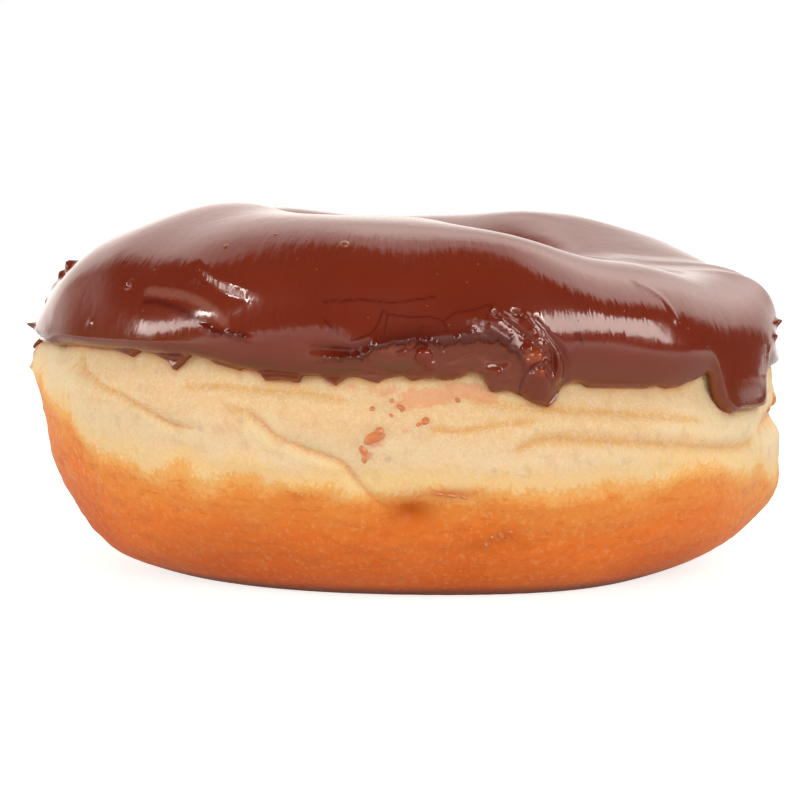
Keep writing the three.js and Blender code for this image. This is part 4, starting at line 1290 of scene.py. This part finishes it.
def smear_material():
    """The thin drops of chocolate on the dough: orange-brown, wet and translucent."""
    material, tree, shader = new_material("thin_chocolate")
    at = millimetres(tree)
    colour = mixed(tree, noise(tree, at, 0.8, 4, 0.6), DROP_DARK, DROP_PALE)
    bump = add(tree, "Bump", {"Height": noise(tree, at, 1.6, 3), "Strength": 0.3, "Distance": 0.0004})
    link(tree, shader, Base_Color=colour, Roughness=0.18, Normal=bump.outputs[0], IOR=1.5,
         Subsurface_Weight=0.4, Subsurface_Radius=(0.0020, 0.0006, 0.0002), Subsurface_Scale=1.0)
    return material


thin_chocolate = smear_material()
print("drops material nodes:", len(thin_chocolate.node_tree.nodes))

# %% [markdown]
# ## Put the pieces in place
# Each skin replaces its solid, and every piece rides on the part's one body.

# %% Dress the frame
for piece, material, slot in (
    (dough_skin, fried_dough, "dough"), (glaze_skin, chocolate_glaze, "glaze"),
    (drops, thin_chocolate, "glaze"), (strands, chocolate_glaze, "glaze"),
):
    piece.data.materials.append(material)
    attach(piece, "root")
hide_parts("dough")
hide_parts("glaze")
print("pieces:", [piece.name for piece in (dough_skin, glaze_skin, drops, strands)])

# %% [markdown]
# ## Floor, light and camera
# The doughnut stands on white: a pale table, a bright wall behind, a dark room behind the camera and two
# windows low in front. What the glaze mirrors matters more than how bright the lamps are, so the world has
# only the bright wall. Two wide lamps are the windows that make the highlights and two small ones the glints
# in them. Three soft lamps that the glaze doesn't mirror light the dough.

# %% Floor
FLOOR_HALF = 2
# The table glows less near the doughnut, from and to these distances in metres, and the camera sees more.
TABLE_REACH = (0.12, 0.5)
TABLE_GLOW = (0.22, 1.0)
TABLE_SEEN = 0.8

corners = [(x * FLOOR_HALF, y * FLOOR_HALF, 0) for x, y in ((-1, -1), (1, -1), (1, 1), (-1, 1))]
floor_mesh = bpy.data.meshes.new("floor")
floor_mesh.from_pydata(corners, [], [(0, 1, 2, 3)])
floor = bpy.data.objects.new("floor", floor_mesh)
bpy.context.scene.collection.objects.link(floor)
white, tree, shader = new_material("white_table")
seen = add(tree, "LightPath").outputs["Is Camera Ray"]
where = add(tree, "TexCoord").outputs["Object"]
away = add(tree, "VectorMath", {0: where}, operation="LENGTH").outputs["Value"]
glow = maths(tree, "MAXIMUM", ranged(tree, away, *TABLE_REACH, *TABLE_GLOW), times(tree, seen, TABLE_SEEN))
link(tree, shader, Base_Color=(0.5, 0.5, 0.5, 1), Roughness=0.9, Specular_IOR_Level=0.1,
     Emission_Color=(1, 0.98, 0.96, 1), Emission_Strength=glow)
floor.data.materials.append(white)
print("floor: %d m wide" % (2 * FLOOR_HALF))

# %% World and lamps
# The wall's edge. Reach is a sum over the direction (X, Y, Z) of a ray, X to the right, Y away from the
# camera and Z up. The wall begins and is fully bright at the two values of edge.
WALL = dict(
    edge=(0.58, 0.74), up=0.25, upper_right=0.94, right_from=0.5, right=-0.5, left_from=0.65, left=1.2,
    left_side=(0.2, 0.5), low_left=(0.7, 0.5, 0.0, -0.12), high_left=(0.62, 0.76, 0.0, 0.3),
)
# The wall's brightness: by height, at the top, far back to the right, near the zenith, and sideways.
WALL_LIGHT = dict(
    low=(0.1, 0.45, 1.6, 1.30), high=(0.45, 0.66, 0.0, 0.3), far_back=(0.5, 0.7), far_right=(-0.15, 0.1),
    boost=(0.0, 1.0, 1.0, 2.8), zenith=(0.68, 0.85, 0.0, 0.35), slant=(0.75, 0.45, 0.0, 0.8),
    slant_ends=(-0.2, 0.25), beside=(0.1, 0.5, 0.0, 1.3), beside_up=(0.2, 0.5),
)
DIM_ROOM = 0.06
WARM_WALL, WHITE = (1.0, 0.92, 0.86), (1.0, 1.0, 1.0)


def wall_reach(tree, way):
    """Y + Z / 4 + 0.94 Z max(X, 0) - 0.5 max(X - 0.5, 0) + 1.2 max(-X - 0.65, 0), a little less low on the
    left side and more high on it."""
    leftward = times(tree, way["X"], -1.0)
    at_left = ranged(tree, leftward, *WALL["left_side"])
    upper_right = times(tree, maths(tree, "MAXIMUM", way["X"], 0.0), way["Z"])
    past_right = maths(tree, "MAXIMUM", maths(tree, "SUBTRACT", way["X"], WALL["right_from"]), 0.0)
    past_left = maths(tree, "MAXIMUM", maths(tree, "SUBTRACT", leftward, WALL["left_from"]), 0.0)
    parts = [
        way["Y"], times(tree, way["Z"], WALL["up"]), times(tree, upper_right, WALL["upper_right"]),
        times(tree, past_right, WALL["right"]), times(tree, past_left, WALL["left"]),
        times(tree, at_left, ranged(tree, way["Z"], *WALL["low_left"])),
        times(tree, at_left, ranged(tree, way["Z"], *WALL["high_left"])),
    ]
    return functools.reduce(lambda total, part: plus(tree, total, part), parts)


def wall_brightness(tree, way):
    """Brightness of the wall: falling from the table up, more at the top and most at the top right, less
    near the zenith, times 1 less a slant sideways, plus more beside the doughnut at the right."""
    light = WALL_LIGHT
    far_back = ranged(tree, way["Y"], *light["far_back"])
    far_right = times(tree, far_back, ranged(tree, way["X"], *light["far_right"]))
    upper = times(tree, ranged(tree, way["Z"], *light["high"]), ranged(tree, far_right, *light["boost"]))
    bright = plus(tree, ranged(tree, way["Z"], *light["low"]), upper)
    bright = maths(tree, "SUBTRACT", bright, ranged(tree, way["Z"], *light["zenith"]))
    left_end, right_end = light["slant_ends"]
    sideways = maths(tree, "MAXIMUM", maths(tree, "MINIMUM", way["X"], right_end), left_end)
    slant = times(tree, ranged(tree, way["Z"], *light["slant"]), sideways)
    bright = times(tree, bright, maths(tree, "SUBTRACT", 1.0, slant))
    beside = ranged(tree, way["X"], *light["beside"])
    return plus(tree, bright, times(tree, beside, ranged(tree, way["Z"], *light["beside_up"])))


def studio_world():
    """A world with a bright wall behind the object, dim elsewhere, and plain white to the camera."""
    world = bpy.data.worlds.new("studio")
    world.use_nodes = True
    tree = world.node_tree
    tree.nodes.clear()
    way = add(tree, "SeparateXYZ", {0: add(tree, "TexCoord").outputs["Generated"]}).outputs
    behind = ranged(tree, wall_reach(tree, way), *WALL["edge"])
    bright = wall_brightness(tree, way)
    strength = add(tree, "Mix", {"Factor": behind, 2: DIM_ROOM, 3: bright}, data_type="FLOAT").outputs[0]
    seen = add(tree, "LightPath").outputs["Is Camera Ray"]
    strength = add(tree, "Mix", {"Factor": seen, 2: strength, 3: 1.0}, data_type="FLOAT").outputs[0]
    colour = mixed(tree, seen, WARM_WALL, WHITE)
    background = add(tree, "Background", {"Color": colour, "Strength": strength})
    output = add(tree, "OutputWorld")
    tree.links.new(background.outputs[0], output.inputs["Surface"])
    bpy.context.scene.world = world


LAMP_COLOUR = (1.0, 0.93, 0.87)
# Height in metres of the point that the lamps look at.
LAMP_TARGET = 0.03
# Lamps: azimuth, elevation, distance in metres, size, radiance and whether the glaze mirrors it.
LAMPS = dict(
    window_left=(-168, 15, 1.0, (0.75, 0.14), 9.0, True),
    window_right=(-41, 20, 1.0, (1.19, 0.36), 9.0, True),
    glint_left=(-149, 26, 1.0, (0.10, 0.09), 45, True),
    glint_right=(-54, 25, 1.0, (0.10, 0.09), 45, True),
    soft_left=(-160, 22, 1.0, (0.75, 0.30), 5.6, False),
    soft_right=(-54, 26, 1.0, (1.20, 0.50), 3.0, False),
    soft_front=(-100, 34, 1.2, (1.60, 0.90), 0.95, False),
)


def lamp(name, azimuth, elevation, distance, size, radiance, mirrored):
    """A rectangular lamp that looks at the doughnut. Its power is the radiance times pi times its area, which
    keeps what the glaze mirrors equally bright for any size. It is either mirrored only, like a window seen
    in the glaze, or lights only, like the room around it."""
    data = bpy.data.lights.new(name, "AREA")
    data.shape = "RECTANGLE"
    data.size, data.size_y = size
    data.energy = radiance * np.pi * size[0] * size[1]
    data.color = LAMP_COLOUR
    source = bpy.data.objects.new(name, data)
    a, e = np.radians(azimuth), np.radians(elevation)
    direction = np.array([np.cos(e) * np.cos(a), np.cos(e) * np.sin(a), np.sin(e)])
    source.location = direction * distance + np.array([0, 0, LAMP_TARGET])
    source.rotation_euler = (np.pi / 2 - e, 0, a + np.pi / 2)
    source.visible_camera = False
    source.visible_glossy = mirrored
    source.visible_diffuse = not mirrored
    bpy.context.scene.collection.objects.link(source)


studio_world()
for name, settings in LAMPS.items():
    lamp(name, *settings)
print("lamps:", list(LAMPS))

# %% [markdown]
# The camera looks slightly down at the front from 35 cm away. Its lens is long enough for the doughnut to
# fill the frame.

# %% Camera
CAMERA = dict(elevation=5.33, distance=0.350, target=(-0.00077, -0.00081, 0.021), lens=117.0, sensor=36,
              nearest=0.01)
tilt = np.radians(CAMERA["elevation"])
camera_data = bpy.data.cameras.new("camera")
camera_data.lens = CAMERA["lens"]
camera_data.sensor_width = CAMERA["sensor"]
camera_data.clip_start = CAMERA["nearest"]
camera = bpy.data.objects.new("camera", camera_data)
camera.location = np.array(CAMERA["target"]) + CAMERA["distance"] * np.array([0, -np.cos(tilt), np.sin(tilt)])
camera.rotation_euler = (np.pi / 2 - tilt, 0, 0)
bpy.context.scene.collection.objects.link(camera)
bpy.context.scene.camera = camera
bpy.context.scene.view_settings.view_transform = "Standard"
print("camera at", np.round(camera.location, 3))
